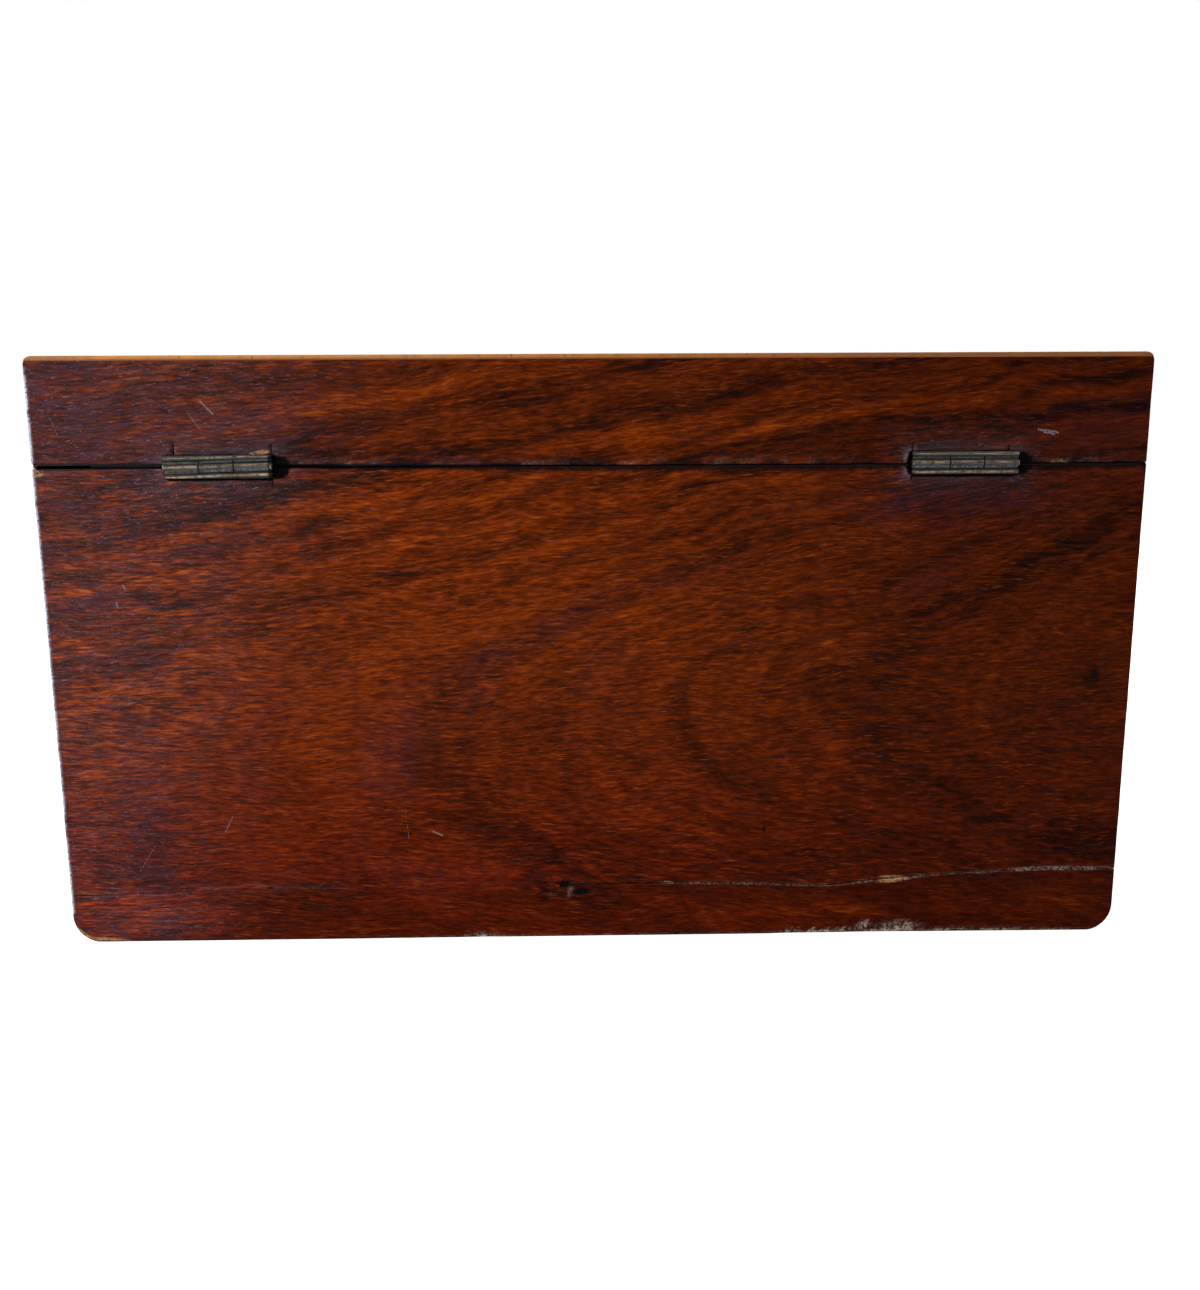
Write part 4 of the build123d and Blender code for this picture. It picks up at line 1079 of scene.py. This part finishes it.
def lay_back(pitch, wear):
    """The back of the body above the split. Rows near the split are drawn to its ragged
    upper lip, and fade back to level rows above."""
    stops = [SPLIT_ROW, *LOWER_CUT_ROWS, AXIS_Z - LEAF_REACH, RIM]
    along, up = sheet_grid(BACK_STOPS, stops, pitch)
    keep = cut_recesses(along, up)
    gap = np.interp(along, *SPLIT_GAP.T) / 2
    chipped = patchy(along, 0, 5, 31, 0, 1) * held((along - 20) / 50)
    lip = (np.interp(along, *SPLIT.T) + gap * (1 + 0.6 * ripple(along, 0, 2.2, 32))
           + 0.1 * chipped)
    share = held(1 - (up - SPLIT_ROW) / SPLIT_FADE)
    up = up + (lip - SPLIT_ROW) * share * share * (3 - 2 * share)
    over = up - lip
    # the top edge has worn low beyond the left hinge and right of the middle
    up = up - held((up - TOP_WEAR_ROW) / TOP_WEAR_RISE) * np.interp(
        along, (-132, -131.6, -103, -40, 0, 131.6, 132), (-0.5, 0.3, 0, 0, 0.3, 0.3, -0.2))
    edge = HALF_WIDTH - np.abs(along)
    bare = (blots(along, up, (0.8, -131.2, 118.2, 2.0, 1.0), (0.8, 75.5, 15.2, 4.4, 0.4),
                  (0.9, 17.5, 14.3, 2.2, 0.4))
            + 0.6 * bell(edge, 0.4) * patchy(up, 0, 6, 33, 0.3, 0.8))
    # dirt and painted shade darken the body's top edge along the seam, right of the left hinge
    seam_dirt_and_shade = (0.68 * bell(RIM - up, np.interp(along, (-40, -10), (0.75, 1.9)))
                 * held((along + 74) / 12))
    # darker along the right arris, and a line of painted shade beside the painted highlight on
    # the left one
    arris_dark = (0.8 * bell(edge, 0.5) * (along > 0) * patchy(up, 0, 12, 46, 0.5, 0.7)
                  + 0.5 * bell(edge - 0.85, 0.25) * (along < 0))
    split_dirt = bell(over, 0.4) * (
        0.42 * held((along - 14) / 8) + 0.3 * (np.abs(along - 62) < 5))
    extra = {
        "dust": dust_run(along) * bell(over, np.interp(along, (98, 112), (0.18, 0.42))),
        "bare": bare,
        "grime_and_shade": hinge_grime_and_shadow(along, up) + seam_dirt_and_shade + arris_dark + split_dirt
        + blots(along, over, (1.2, -82.3, 0.1, 1.0, 0.3))
        + blots(along, up, (1.8, -8.0, 14.2, 1.3, 0.8), (0.7, -3.6, 13.0, 2.6, 1.2),
                (1.0, 130.8, 40.5, 0.5, 0.5), (0.6, 123.4, 67.4, 2.2, 2.6),
                (0.9, 42.7, 28.5, 0.5, 0.8)),
        # a painted highlight on the left arris, and a pale mark by the right hinge
        "rub_and_glint": arris_glint(along, up, edge) + blots(along, up, (0.7, 75.4, AXIS_Z, 1.0, 2.6)),
    }
    # haze round the hinges, and a painted highlight on the split's raised lip at the left
    haze_and_sheen = hinge_haze(along, up) + 0.8 * bell(over, 1.0) * np.interp(
        along, (-132, -104, -94, -68, -60), (0.25, 0.4, 1, 1, 0))
    sink = (arris(along, up, HALF_WIDTH, wear) + round_off(RIM - up, 0.45)
            + round_off(over, 0.15) * (along > GAPE_START) + 0.3 * bare * (edge > 1))
    return lay_sheet("veneer_back", "back", along, up, sink, keep, extra, 0.0, haze_and_sheen)


def lay_back_foot(pitch, wear):
    """The back of the body below the split, with its crumbled lower edge. Rows above
    the worn corners are drawn to the split's lower lip."""
    along, up = sheet_grid(BACK_STOPS, [0, FOOT_RADIUS, SPLIT_ROW], pitch)
    lip = np.interp(along, *SPLIT.T) - np.interp(along, *SPLIT_GAP.T) / 2
    lip -= 0.10 * np.abs(ripple(along, 0, 2.6, 34))
    up = up + (lip - SPLIT_ROW) * held((up - FOOT_RADIUS) / (SPLIT_ROW - FOOT_RADIUS))
    reach, along = draw_in(along, up)
    under, inward = lip - up, reach - np.abs(along)
    edge = np.minimum(inward, up)
    crumbled = (bell(up, 0.75 + 0.35 * ripple(along, 0, 2.4, 47), 4)
                * held((along - 44) / 5) * held((84 - along) / 8))
    worn = (1.6 * crumbled + 0.5 * bell(up, 0.5) * held((along + 60) / 30)
            + blots(along, up, (1.2, 68.3, 2.2, 1.5, 1.1), (1.3, 77.5, 1.8, 4.2, 1.1),
                    (0.8, -29, 0.2, 4, 0.8), (0.9, 90, 0.3, 26, 0.6)))
    corner = 1.5 * bell(edge, 1.2) * held((-116 - along) / 8) * held((5 - up) / 3)
    extra = {
        "dust": dust_run(along) * bell(under, 0.18)
        + worn * patchy(along, up, 3, 36, 0.8, 0.8),
        "bare": blots(along, up, (0.36, -11.4, 11.5, 4.0, 1.0)) + 0.9 * corner
        + blots(along, under, (1.1, 75.8, 0.35, 4.6, 0.55))
        + 0.35 * bell(edge, 0.5) * patchy(along, up, 9, 37, 0, 1),
        "grime_and_shade": blots(along, up, (1.1, -3.8, 12.2, 2.4, 1.0))
        # painted contact shade along the bottom edge, and darker along the right arris
        + 0.8 * bell(up, 0.6) * patchy(along, 0, 22, 38, 0.7, 0.5)
        + 0.8 * bell(inward, 0.6) * (along > 0),
        "rub_and_glint": arris_glint(along, up, inward) * (up > FOOT_RADIUS)
        + blots(along, up, (0.9, -6.9, 12.6, 0.35, 0.9)),
    }
    shade = 0.42 * held((along + 104) / 18) + blots(along, up, (0.3, -76, 6, 14, 5))
    # haze at the lower left end, and a painted highlight on the split's lower lip
    haze_and_sheen = blots(along, up, (0.6, -108, 6, 13, 4)) + bell(under, 0.8) * np.interp(
        along, (-132, -126, -100, -92, -62), (0.6, 1.0, 0.9, 0.2, 0))
    sink = arris(along, up, reach, wear) + round_off(up, 0.3) + 0.2 * worn * (up < 3)
    return lay_sheet("veneer_back_foot", "back", along, up, sink, None, extra, shade, haze_and_sheen)


def lay_lid_back(pitch, wear):
    """The back of the lid, with its chipped lower edge and the dirt along the seam."""
    stops = [LID_LOW, AXIS_Z + LEAF_REACH, *UPPER_CUT_ROWS, LINE_LOW]
    along, up = sheet_grid(BACK_STOPS, stops, pitch)
    keep = cut_recesses(along, up)
    reach, along = draw_in(along, up)
    over = up - LID_LOW
    # the lower edge has worn high toward the left end, and stands low right of the middle
    high = np.interp(along, (-128, -102, -99, -70, 0, 40), (0.45, 0.3, 0.05, 0.05, -0.5, -0.55))
    up = up + high * held((LID_WEAR_ROW - up) / (LID_WEAR_ROW - LID_LOW))
    edge = reach - np.abs(along)
    chipped = patchy(along, up, 4, 41, 0.6, 0.7) * blots(along, over, (1.0, 116, 0, 8, 0.6))
    right = held((along + 78) / 18)
    seam = bell(over, 0.9) * right
    # a chip of raw wood above the left hinge
    raw = blots(along, up - 0.08 * (along + 78.7), (1.5, -78.7, 122.75, 2.5, 0.42))
    extra = {
        "dust": 0.2 * seam * patchy(along, up, 5, 42, 0, 1) + 0.25 * chipped,
        "bare": 0.3 * chipped + raw + 0.5 * bell(edge, 0.5) * patchy(up, 0, 6, 43, 0, 1),
        "grime_and_shade": hinge_grime_and_shadow(along, up) * (1 - held(raw))
        # dirt and painted shade along the seam
        + 0.62 * bell(over, 1.6) * right * patchy(along, 0, 16, 44, 0.8, 0.3),
        "rub_and_glint": arris_glint(along, up, edge) + blots(along, up, (0.6, 75.4, AXIS_Z, 1.0, 2.6)),
    }
    # the lid's back is darker, most at its left
    shade = np.interp(along, (-118, -83, -48, 22, 57, 117), (0.93, 0.79, 0.42, 0.28, 0.05, 0.2))
    haze_and_sheen = 0.9 * hinge_haze(along, up) + seam * np.interp(
        along, (-60, -20, 20, 132), (0.8, 0.6, 0.15, 0.15))
    sink = arris(along, up, reach, wear) + round_off(over, 0.35) + 0.2 * chipped
    return lay_sheet("veneer_lid_back", "back", along, up, sink, keep, extra, shade, haze_and_sheen)


def lay_front(pitch, wear):
    """The front of the body, cut for the brass thread of the keyhole."""
    low, high = limits("escutcheon")
    # closer lines round the keyhole
    close = [list(np.arange(low[way] - 0.8, high[way] + 0.8, 0.4)) for way in (0, 2)]
    along, up = sheet_grid(
        close[0] + [-HALF_WIDTH, HALF_WIDTH], close[1] + [0, RIM], pitch)
    eye = (high[0] - low[0]) / 2
    centre, slot, lap = high[2] - eye, 1.8, 0.45
    run = held(cell_middles(up), low[2] + slot, centre)
    apart_slot = np.hypot(cell_middles(along), cell_middles(up) - run) - slot
    apart_eye = np.hypot(cell_middles(along), cell_middles(up) - centre) - eye
    keep = np.minimum(apart_slot, apart_eye) > -lap
    reach, along = draw_in(along, up)
    edge = np.minimum(reach - np.abs(along), up)
    extra = {
        "bare": 0.6 * bell(edge, 0.5) * patchy(along, up, 8, 51, 0.4, 0.8),
        "grime_and_shade": blots(along, up, (0.6, 0, centre, eye + 1.2, eye + 2.2))
        + 0.5 * bell(up, 0.6),
    }
    sink = arris(along, up, reach, wear) + round_off(RIM - up, 0.4) + round_off(up, 0.5)
    return lay_sheet("veneer_front", "front", along, up, sink, keep, extra)


def lay_lid_front(pitch, wear):
    """The front of the lid, rubbed where the thumb lifts it."""
    along, up = sheet_grid([-HALF_WIDTH, HALF_WIDTH], [LID_LOW, LINE_LOW], pitch)
    reach, along = draw_in(along, up)
    over = up - LID_LOW
    extra = {"bare": blots(along, over, (0.8, 0, 0, 20, 0.7)),
             # dirt and painted shade along the seam, and dirt where the thumb lifts the lid
             "grime_and_shade": 0.5 * bell(over, 0.5) + blots(along, over, (0.3, 0, 0, 34, 5))}
    sink = arris(along, up, reach, wear) + round_off(over, 0.4)
    return lay_sheet("veneer_lid_front", "front", along, up, sink, None, extra)


def lay_end(side, pitch):
    """One end of the body. It stops where the worn round of the base cuts through it."""
    foot = FOOT_RADIUS - math.sqrt(FOOT_RADIUS**2 - (FOOT_RADIUS - VENEER) ** 2)
    rim = RIM + END_STAND
    along, up = sheet_grid([-CORE_Y, CORE_Y], [foot, rim], pitch)
    extra = {"bare": bell(up - foot, 1.2) * patchy(along, up, 9, 61, 0.5, 1),
             # dirt and painted shade along the seam
             "grime_and_shade": 0.4 * bell(rim - up, 0.5)}
    sink = corner_sink(up) + round_off(rim - up, 0.15)
    return lay_sheet(f"veneer_{side}", side, along, up, sink, None, extra)


def lay_lid_end(side, pitch):
    """One end of the lid."""
    along, up = sheet_grid([-CORE_Y, CORE_Y], [LID_LOW, LINE_LOW], pitch)
    # dirt and painted shade along the seam
    extra = {"grime_and_shade": 0.5 * bell(up - LID_LOW, 0.5)}
    sink = corner_sink(up) + round_off(up - LID_LOW, 0.15)
    return lay_sheet(f"veneer_lid_{side}", side, along, up, sink, None, extra)


def lay_top(pitch):
    """The top of the lid, inside the boxwood line."""
    reach, back = HALF_WIDTH - LINE, HALF_DEPTH - LINE
    along, up = sheet_grid([-reach, reach], [-back, back], pitch)
    edge = np.minimum(reach - np.abs(along), back - np.abs(up))
    sink = blots(along, up, (0.12, 30, -14, 34, 22))
    return lay_sheet("veneer_lid_top", "top", along, up, sink, None,
                     {"grime_and_shade": 0.5 * bell(edge, 0.4)})


class GLOVEBOX_OT_veneer(Operator):
    """Lays the ten sheets of rosewood over the case and the lid"""
    bl_idname = "glovebox.veneer"
    bl_label = "Lay Veneer"

    def execute(self, context):
        look = context.scene.glove_box_veneer
        pitch, wear = look.grid_pitch / MM, look.arris_wear / MM
        coarse = 1.5 * pitch
        sheets = [
            (lay_back(pitch, wear), "carcase", ["back_veneer"]),
            (lay_back_foot(pitch, wear), "carcase", ["back_veneer_base_strip"]),
            (lay_front(coarse, wear), "carcase", ["front_veneer"]),
            (lay_end("left", coarse), "carcase", ["left_end_veneer"]),
            (lay_end("right", coarse), "carcase", ["right_end_veneer"]),
            (lay_lid_back(pitch, wear), "lid", ["lid_back_veneer"]),
            (lay_lid_front(coarse, wear), "lid", ["lid_front_veneer"]),
            (lay_lid_end("left", coarse), "lid", ["lid_left_veneer"]),
            (lay_lid_end("right", coarse), "lid", ["lid_right_veneer"]),
            (lay_top(coarse), "lid", ["lid_top_veneer"]),
        ]
        rosewood = rosewood_material(look)
        for piece, body, nodes in sheets:
            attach(dress(piece, rosewood), body)
            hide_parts(*nodes)
        return {"FINISHED"}


# ---------------------------------------------------------------- hinges
KNUCKLES = {"body": (True, False, True), "lid": (False, True, False)}
# A leaf in section, in millimetres from the axis: its inner face, back edge and
# outermost line, the scoop's radius, and the flange's corners, rounded by wear.
LEAF_INNER, LEAF_BACK, LEAF_OUT, SCOOP_RADIUS = 0.17, -8.45, 1.59, 1.75
FLANGE = ((1.42, 1.66), (1.53, 1.78), (LEAF_OUT, 1.92), (LEAF_OUT, 2.12), (LEAF_OUT, 2.38),
          (1.52, 2.56), (1.36, 2.64), (1.0, 2.655), (-0.4, 2.66), (LEAF_BACK, 2.66))
# The flanges meet with the lid at 98 degrees: the slope of the line between them.
MEETING_SLOPE = 1.15
LEAF_STATIONS = 30


def arc(radius, start, end, count):
    """Points on a circle about the hinge axis, between two angles in degrees."""
    turn = np.radians(np.linspace(start, end, count))
    return np.stack([radius * np.cos(turn), radius * np.sin(turn)], -1)


def leaf_section(knuckle):
    """Half a hinge in section, out and up from its axis: a plate let into the rim, then
    a round knuckle or the scoop for the other leaf's, and a flange with soft corners."""
    run = arc(LEAF_OUT, 174, 409, 34) if knuckle else arc(SCOOP_RADIUS, 174.5, 49, 18)
    return np.vstack([[(LEAF_BACK, LEAF_INNER)], run, FLANGE])


def tube_faces(stations, around):
    """The faces of a closed tube of rings: quads between them, and a cap on each end."""
    number = np.arange(stations * around).reshape(stations, around)
    after = np.roll(number, -1, axis=1)
    quads = np.stack([number[:-1], number[1:], after[1:], after[:-1]], -1).reshape(-1, 4)
    return quads.tolist() + [number[0].tolist(), number[-1][::-1].tolist()]


def lay_leaf(side, body, middle):
    """One hinge leaf in three lengths, dented a little by its years of use. Dents are
    sums of sines along the leaf and round it, deepest on what stands out."""
    up = 1 if body == "lid" else -1
    length = (HINGE_LENGTH - 1.0) / 3
    places, faces, first = [], [], 0
    for third, knuckle in enumerate(KNUCKLES[body]):
        start = middle - 1.5 * length + third * length
        section = leaf_section(knuckle)
        # the knuckles stand a little apart, and the flange runs on past them
        gap = np.where(section[:, 1] > 1.7, 0.005, 0.06)
        share = np.linspace(0, 1, LEAF_STATIONS)[:, None]
        points = np.empty((LEAF_STATIONS, len(section), 3))
        points[..., 0], points[..., 1:] = start + gap + share * (length - 2 * gap), section
        points, cells = points.reshape(-1, 3), tube_faces(LEAF_STATIONS, len(section))
        # a scoop keeps its shape, and the flange stays on its own side of the line where
        # the open leaves meet
        scoop = np.hypot(points[:, 1], points[:, 2]) < (0 if knuckle else 1.8)
        flange = points[:, 2] > 1.6
        out = held((points[:, 1] + 0.6) / 1.2) * ~scoop
        dent = held(0.55 - ripple(points[:, 0], 2.2 * points[:, 2], 2.6, 70 + third), 0, 2)
        points[:, 1] -= 0.07 * out * dent
        points[:, 2] -= 0.06 * out * patchy(
            points[:, 0], points[:, 1], 3.4, 75 + third, 0.5, 1, 2)
        points[flange, 2] = np.maximum(points[flange, 2], MEETING_SLOPE * points[flange, 1])
        points[:, 2] = up * points[:, 2]
        if up > 0:
            cells = [cell[::-1] for cell in cells]
        places.append(points)
        faces += [[first + corner for corner in cell] for cell in cells]
        first += len(points)
    places = np.vstack(places) + (0, AXIS_Y, AXIS_Z)
    return lay_faces(f"hinge_leaf_{side}_{body}", places * MM, faces, smooth=False)


class GLOVEBOX_OT_hinges(Operator):
    """Makes the four worn hinge leaves"""
    bl_idname = "glovebox.hinges"
    bl_label = "Make Hinges"

    def execute(self, context):
        brass = hinge_material(context.scene.glove_box_metal)
        for side, middle in (("left", -HINGE_PLACE), ("right", HINGE_PLACE)):
            for body in KNUCKLES:
                leaf = dress(lay_leaf(side, body, middle), brass)
                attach(leaf, "carcase" if body == "body" else "lid")
                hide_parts(f"hinge_{side}_{body}_leaf")
        return {"FINISHED"}


# ---------------------------------------------------------------- the silk lining
# Each padded piece: its node and body, the way its silk faces, the way of its length,
# how full it is, how high it crowns in millimetres, and how far apart its gathers are.
PADS = {}
SIDES = {"front": ((0, 1, 0), (1, 0, 0)), "back": ((0, -1, 0), (1, 0, 0)),
         "left": ((1, 0, 0), (0, 1, 0)), "right": ((-1, 0, 0), (0, 1, 0))}
for owner, pad, prefix, facing, full, swell, apart, side_swell in (
        ("carcase", "floor_pad", "", 1, 0.7, 1.6, 8.0, 0.6),
        ("lid", "lid_pad", "lid_", -1, 0.8, 1.8, 7.0, 0.3)):
    PADS[pad] = (owner, (0, 0, facing), (1, 0, 0), full, swell, apart)
    for side_name, ways in SIDES.items():
        PADS[f"{prefix}{side_name}_lining"] = (owner, *ways, 0.4, side_swell, 6.4)
# The widest that a pad's edge is rounded, the points round it, and the extra lines
# inside its ends.
SOFT_EDGE, EDGE_POINTS, END_LINES = 2.4, 7, (0.15, 0.4, 0.8, 1.4, 2.2)


def gathers(run, inward, spacing, seed):
    """Silk drawn in along an edge: furrows square to it, about one spacing apart and
    unevenly deep, that fade out with the distance inward."""
    inward = np.maximum(inward, 0)
    swing = run + 1.4 * ripple(run, 0.3 * inward, 5 * spacing, seed)
    furrow = (0.5 + 0.5 * np.cos(FULL_TURN * swing / spacing)) ** 2
    depth = 0.7 + 0.5 * ripple(run, 0, 3 * spacing, seed + 1)
    reach = spacing * (1.0 + 0.5 * ripple(run, 0, 2.3 * spacing, seed + 2))
    return furrow * depth * bell(inward, np.maximum(reach, 1.0), 1.3)


def lay_pad(name, face, length, crown, spacing, pitch):
    """A padded piece: a slab with rounded edges on its silk side, crowned by the fourth
    powers of its length and width, gathered along its edges, and capped at both ends.
    Each station along it is one loop: flat behind, up one side, over and down."""
    low, high = limits(name)
    face, length = np.array(face, float), np.array(length, float)
    across = np.cross(face, length)
    middle, half = (low + high) / 2, (high - low) / 2
    half_p, half_q = abs(half @ length), abs(half @ across)
    thick = 2 * abs(half @ face)
    soft = min(0.45 * thick, SOFT_EDGE)
    stations = grid_lines([-half_p, half_p], pitch, END_LINES)
    inset = round_off(half_p - np.abs(stations), soft)
    turn = np.radians(np.linspace(0, 90, EDGE_POINTS))
    side, rise = soft * (1 - np.cos(turn)), thick - soft * (1 - np.sin(turn))
    top = grid_lines([-half_q + soft, half_q - soft], pitch, ())[1:-1]
    places = np.concatenate([[-half_q], side - half_q, top, (half_q - side)[::-1], [half_q]])
    levels = np.concatenate([[0], rise, thick + 0 * top, rise[::-1], [0]])
    p, q = np.meshgrid(stations, places, indexing="ij")
    raised = levels > 0.01
    q = q * (1 - inset[:, None] / half_q * raised)
    lift = levels - 0.9 * inset[:, None] * raised
    share = (1 - (p / half_p) ** 4) * (1 - (q / half_q) ** 4)
    surface = held((lift - 0.4 * thick) / (0.5 * thick))
    seed = 80 + 3 * sum(map(ord, name)) % 97
    puckers = gathers(p, half_q - np.abs(q), spacing, seed) + gathers(
        q, half_p - np.abs(p), spacing, seed + 5)
    slack = 0.3 * crown * ripple(p, q, 30, seed + 9) * share
    lift += surface * (crown * share + slack - 0.9 * np.sqrt(crown) * puckers)
    points = (middle - half @ np.abs(face) * face + p[..., None] * length
              + q[..., None] * across + lift[..., None] * face)
    values = {"cloth_u": p.ravel(), "cloth_v": (q + lift).ravel(),
              "crown": (share * surface).ravel(), "furrow": (puckers * surface).ravel()}
    return lay_faces(f"silk_{name}", points.reshape(-1, 3) * MM, tube_faces(*p.shape), values)


class GLOVEBOX_OT_lining(Operator):
    """Pads the inside of the case and the lid with silk"""
    bl_idname = "glovebox.lining"
    bl_label = "Line With Silk"

    def execute(self, context):
        look = context.scene.glove_box_silk
        silk, pitch = silk_material(look), look.grid_pitch / MM
        for name, (body, face, length, fill, crown, spacing) in PADS.items():
            piece = dress(lay_pad(name, face, length, crown, spacing, pitch), silk)
            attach(piece, body)
            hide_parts(name)
        return {"FINISHED"}


class GLOVEBOX_OT_woodwork(Operator):
    """Finishes the boards and rails in aged deal, and the line in boxwood"""
    bl_idname = "glovebox.woodwork"
    bl_label = "Finish Woodwork"

    def execute(self, context):
        deal, boxwood = deal_material(), boxwood_material(context.scene.glove_box_veneer)
        for name, node in NODES.items():
            if name.endswith(("_board", "_rail")):
                dress(node, deal)
            elif name.startswith("stringing_"):
                dress(node, boxwood)
        return {"FINISHED"}


class GLOVEBOX_OT_metalwork(Operator):
    """Finishes the pins, the lock, the screws and the key"""
    bl_idname = "glovebox.metalwork"
    bl_label = "Finish Metalwork"

    def execute(self, context):
        look = context.scene.glove_box_metal
        lock = metal_material("lock_brass", look.lock_brass, (116, 84, 44), 0.30)
        steel = metal_material("bolt_steel", look.steel, (74, 68, 62), 0.34)
        iron = metal_material("screw_iron", look.iron, (44, 32, 26), 0.48)
        key = metal_material("key_iron", look.steel, (70, 62, 56), 0.36)
        pin = metal_material("steel_pin", look.steel, (74, 68, 62), 0.4)
        for name, node in NODES.items():
            if name.endswith("screws"):
                dress(node, iron)
            elif name in ("hinge_left_pin", "hinge_right_pin"):
                dress(node, pin)
            elif name in ("lock_bolt", "lock_bolt_spring", "lock_drill_pin", "lock_pegs"):
                dress(node, steel)
            elif name.startswith("lock_") or name == "escutcheon":
                dress(node, lock)
            elif name == "key":
                dress(node, key)
        return {"FINISHED"}


# ---------------------------------------------------------------- the stage
CAMERA_PLACE = Vector((0.00347, 0.36803, 0.13048))
CAMERA_YAW, CAMERA_PITCH, CAMERA_ROLL = -0.01675, -0.18734, -0.0051
CAMERA_LENS, SENSOR_WIDTH = 33.49, 36
FLOOR_RADIUS, FLOOR_DROP = 6, 0.0001


def set_camera():
    """A camera behind the box, looking a little down at its back."""
    forward = Vector((math.sin(CAMERA_YAW) * math.cos(CAMERA_PITCH),
                      -math.cos(CAMERA_YAW) * math.cos(CAMERA_PITCH), math.sin(CAMERA_PITCH)))
    level = forward.cross(Vector((0, 0, 1))).normalized()
    upright = level.cross(forward)
    right = level * math.cos(CAMERA_ROLL) + upright * math.sin(CAMERA_ROLL)
    over = upright * math.cos(CAMERA_ROLL) - level * math.sin(CAMERA_ROLL)
    data = bpy.data.cameras.new("camera")
    data.lens, data.sensor_width = CAMERA_LENS, SENSOR_WIDTH
    data.clip_start, data.clip_end = 0.01, 50
    camera = hang("camera", data)
    camera.matrix_world = Matrix.Translation(CAMERA_PLACE) @ Matrix(
        (right, over, -forward)).transposed().to_4x4()
    bpy.context.scene.camera = camera


def set_lamp(name, spot, power, size, aim=(0, 0, 0.07)):
    """A soft square lamp, turned to what it lights."""
    data = bpy.data.lights.new(name, "AREA")
    data.shape, data.size, data.size_y, data.energy = "RECTANGLE", size, size, power
    lamp = hang(name, data)
    lamp.location = spot
    lamp.rotation_mode = "QUATERNION"
    lamp.rotation_quaternion = (Vector(aim) - Vector(spot)).to_track_quat("-Z", "Y")


def set_surroundings():
    """White to the camera and to a gloss, and a soft light to all else."""
    world = bpy.data.worlds.new("surroundings")
    tree = clear_nodes(world)
    light = wire(tree, "ShaderNodeBackground", {
        "Color": (1, 1, 1, 1), "Strength": spread(seen_plainly(tree), 0.0, 1.0, 0.36, 1.0)})
    put(tree, "ShaderNodeOutputWorld", {"Surface": light})
    bpy.context.scene.world = world


class GLOVEBOX_OT_stage(Operator):
    """Sets the pale floor, the white surroundings, the soft lamps and the camera"""
    bl_idname = "glovebox.stage"
    bl_label = "Set Stage"

    def execute(self, context):
        look = context.scene.glove_box_stage
        # a disc: rings by spokes, closed round, its innermost ring almost a point
        spokes = np.linspace(0, 2 * np.pi, 65)[:-1]
        radius, turn = np.meshgrid(np.linspace(0.001, FLOOR_RADIUS, 24), spokes, indexing="ij")
        points = np.stack([radius * np.cos(turn), radius * np.sin(turn),
                           0 * radius - FLOOR_DROP], -1)
        floor = lay_grid("stage_floor", points / MM, closed=True)
        dress(floor, floor_material(look))
        set_surroundings()
        set_lamp("key", (0.56, 0.44, 0.34), look.key_power, 0.5, (0.02, 0.08, 0.07))
        set_lamp("fill_front", (-0.7, -1.0, 0.8), look.fill_power, 1.0)
        set_lamp("fill_over", (0.2, -0.1, 1.3), 0.6 * look.fill_power, 1.0)
        context.scene.view_settings.view_transform = "Standard"
        set_camera()
        return {"FINISHED"}


# ---------------------------------------------------------------- the panel
STEPS = (GLOVEBOX_OT_veneer, GLOVEBOX_OT_hinges, GLOVEBOX_OT_lining,
         GLOVEBOX_OT_woodwork, GLOVEBOX_OT_metalwork, GLOVEBOX_OT_stage)
LOOKS = {"glove_box_veneer": GloveBoxVeneer, "glove_box_metal": GloveBoxMetal,
         "glove_box_silk": GloveBoxSilk, "glove_box_stage": GloveBoxStage}


class GLOVEBOX_PT_making(Panel):
    """The steps that dress the glove box, and what each is made from"""
    bl_label = "Glove Box"
    bl_idname = "GLOVEBOX_PT_making"
    bl_space_type = "VIEW_3D"
    bl_region_type = "UI"
    bl_category = "Glove Box"

    def draw(self, context):
        layout = self.layout
        for step in STEPS:
            layout.operator(step.bl_idname)
        for name in LOOKS:
            look = getattr(context.scene, name)
            box = layout.box()
            for key in look.__annotations__:
                box.prop(look, key)


CLASSES = (*LOOKS.values(), *STEPS, GLOVEBOX_PT_making)


def register():
    for one in CLASSES:
        bpy.utils.register_class(one)
    for name, look in LOOKS.items():
        setattr(bpy.types.Scene, name, PointerProperty(type=look))


def unregister():
    for name in LOOKS:
        delattr(bpy.types.Scene, name)
    for one in reversed(CLASSES):
        bpy.utils.unregister_class(one)


def main():
    """Registers the classes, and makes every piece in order."""
    register()
    bpy.ops.glovebox.veneer()
    bpy.ops.glovebox.hinges()
    bpy.ops.glovebox.lining()
    bpy.ops.glovebox.woodwork()
    bpy.ops.glovebox.metalwork()
    bpy.ops.glovebox.stage()
    bpy.context.view_layer.update()


if __name__ == "__main__":
    main()
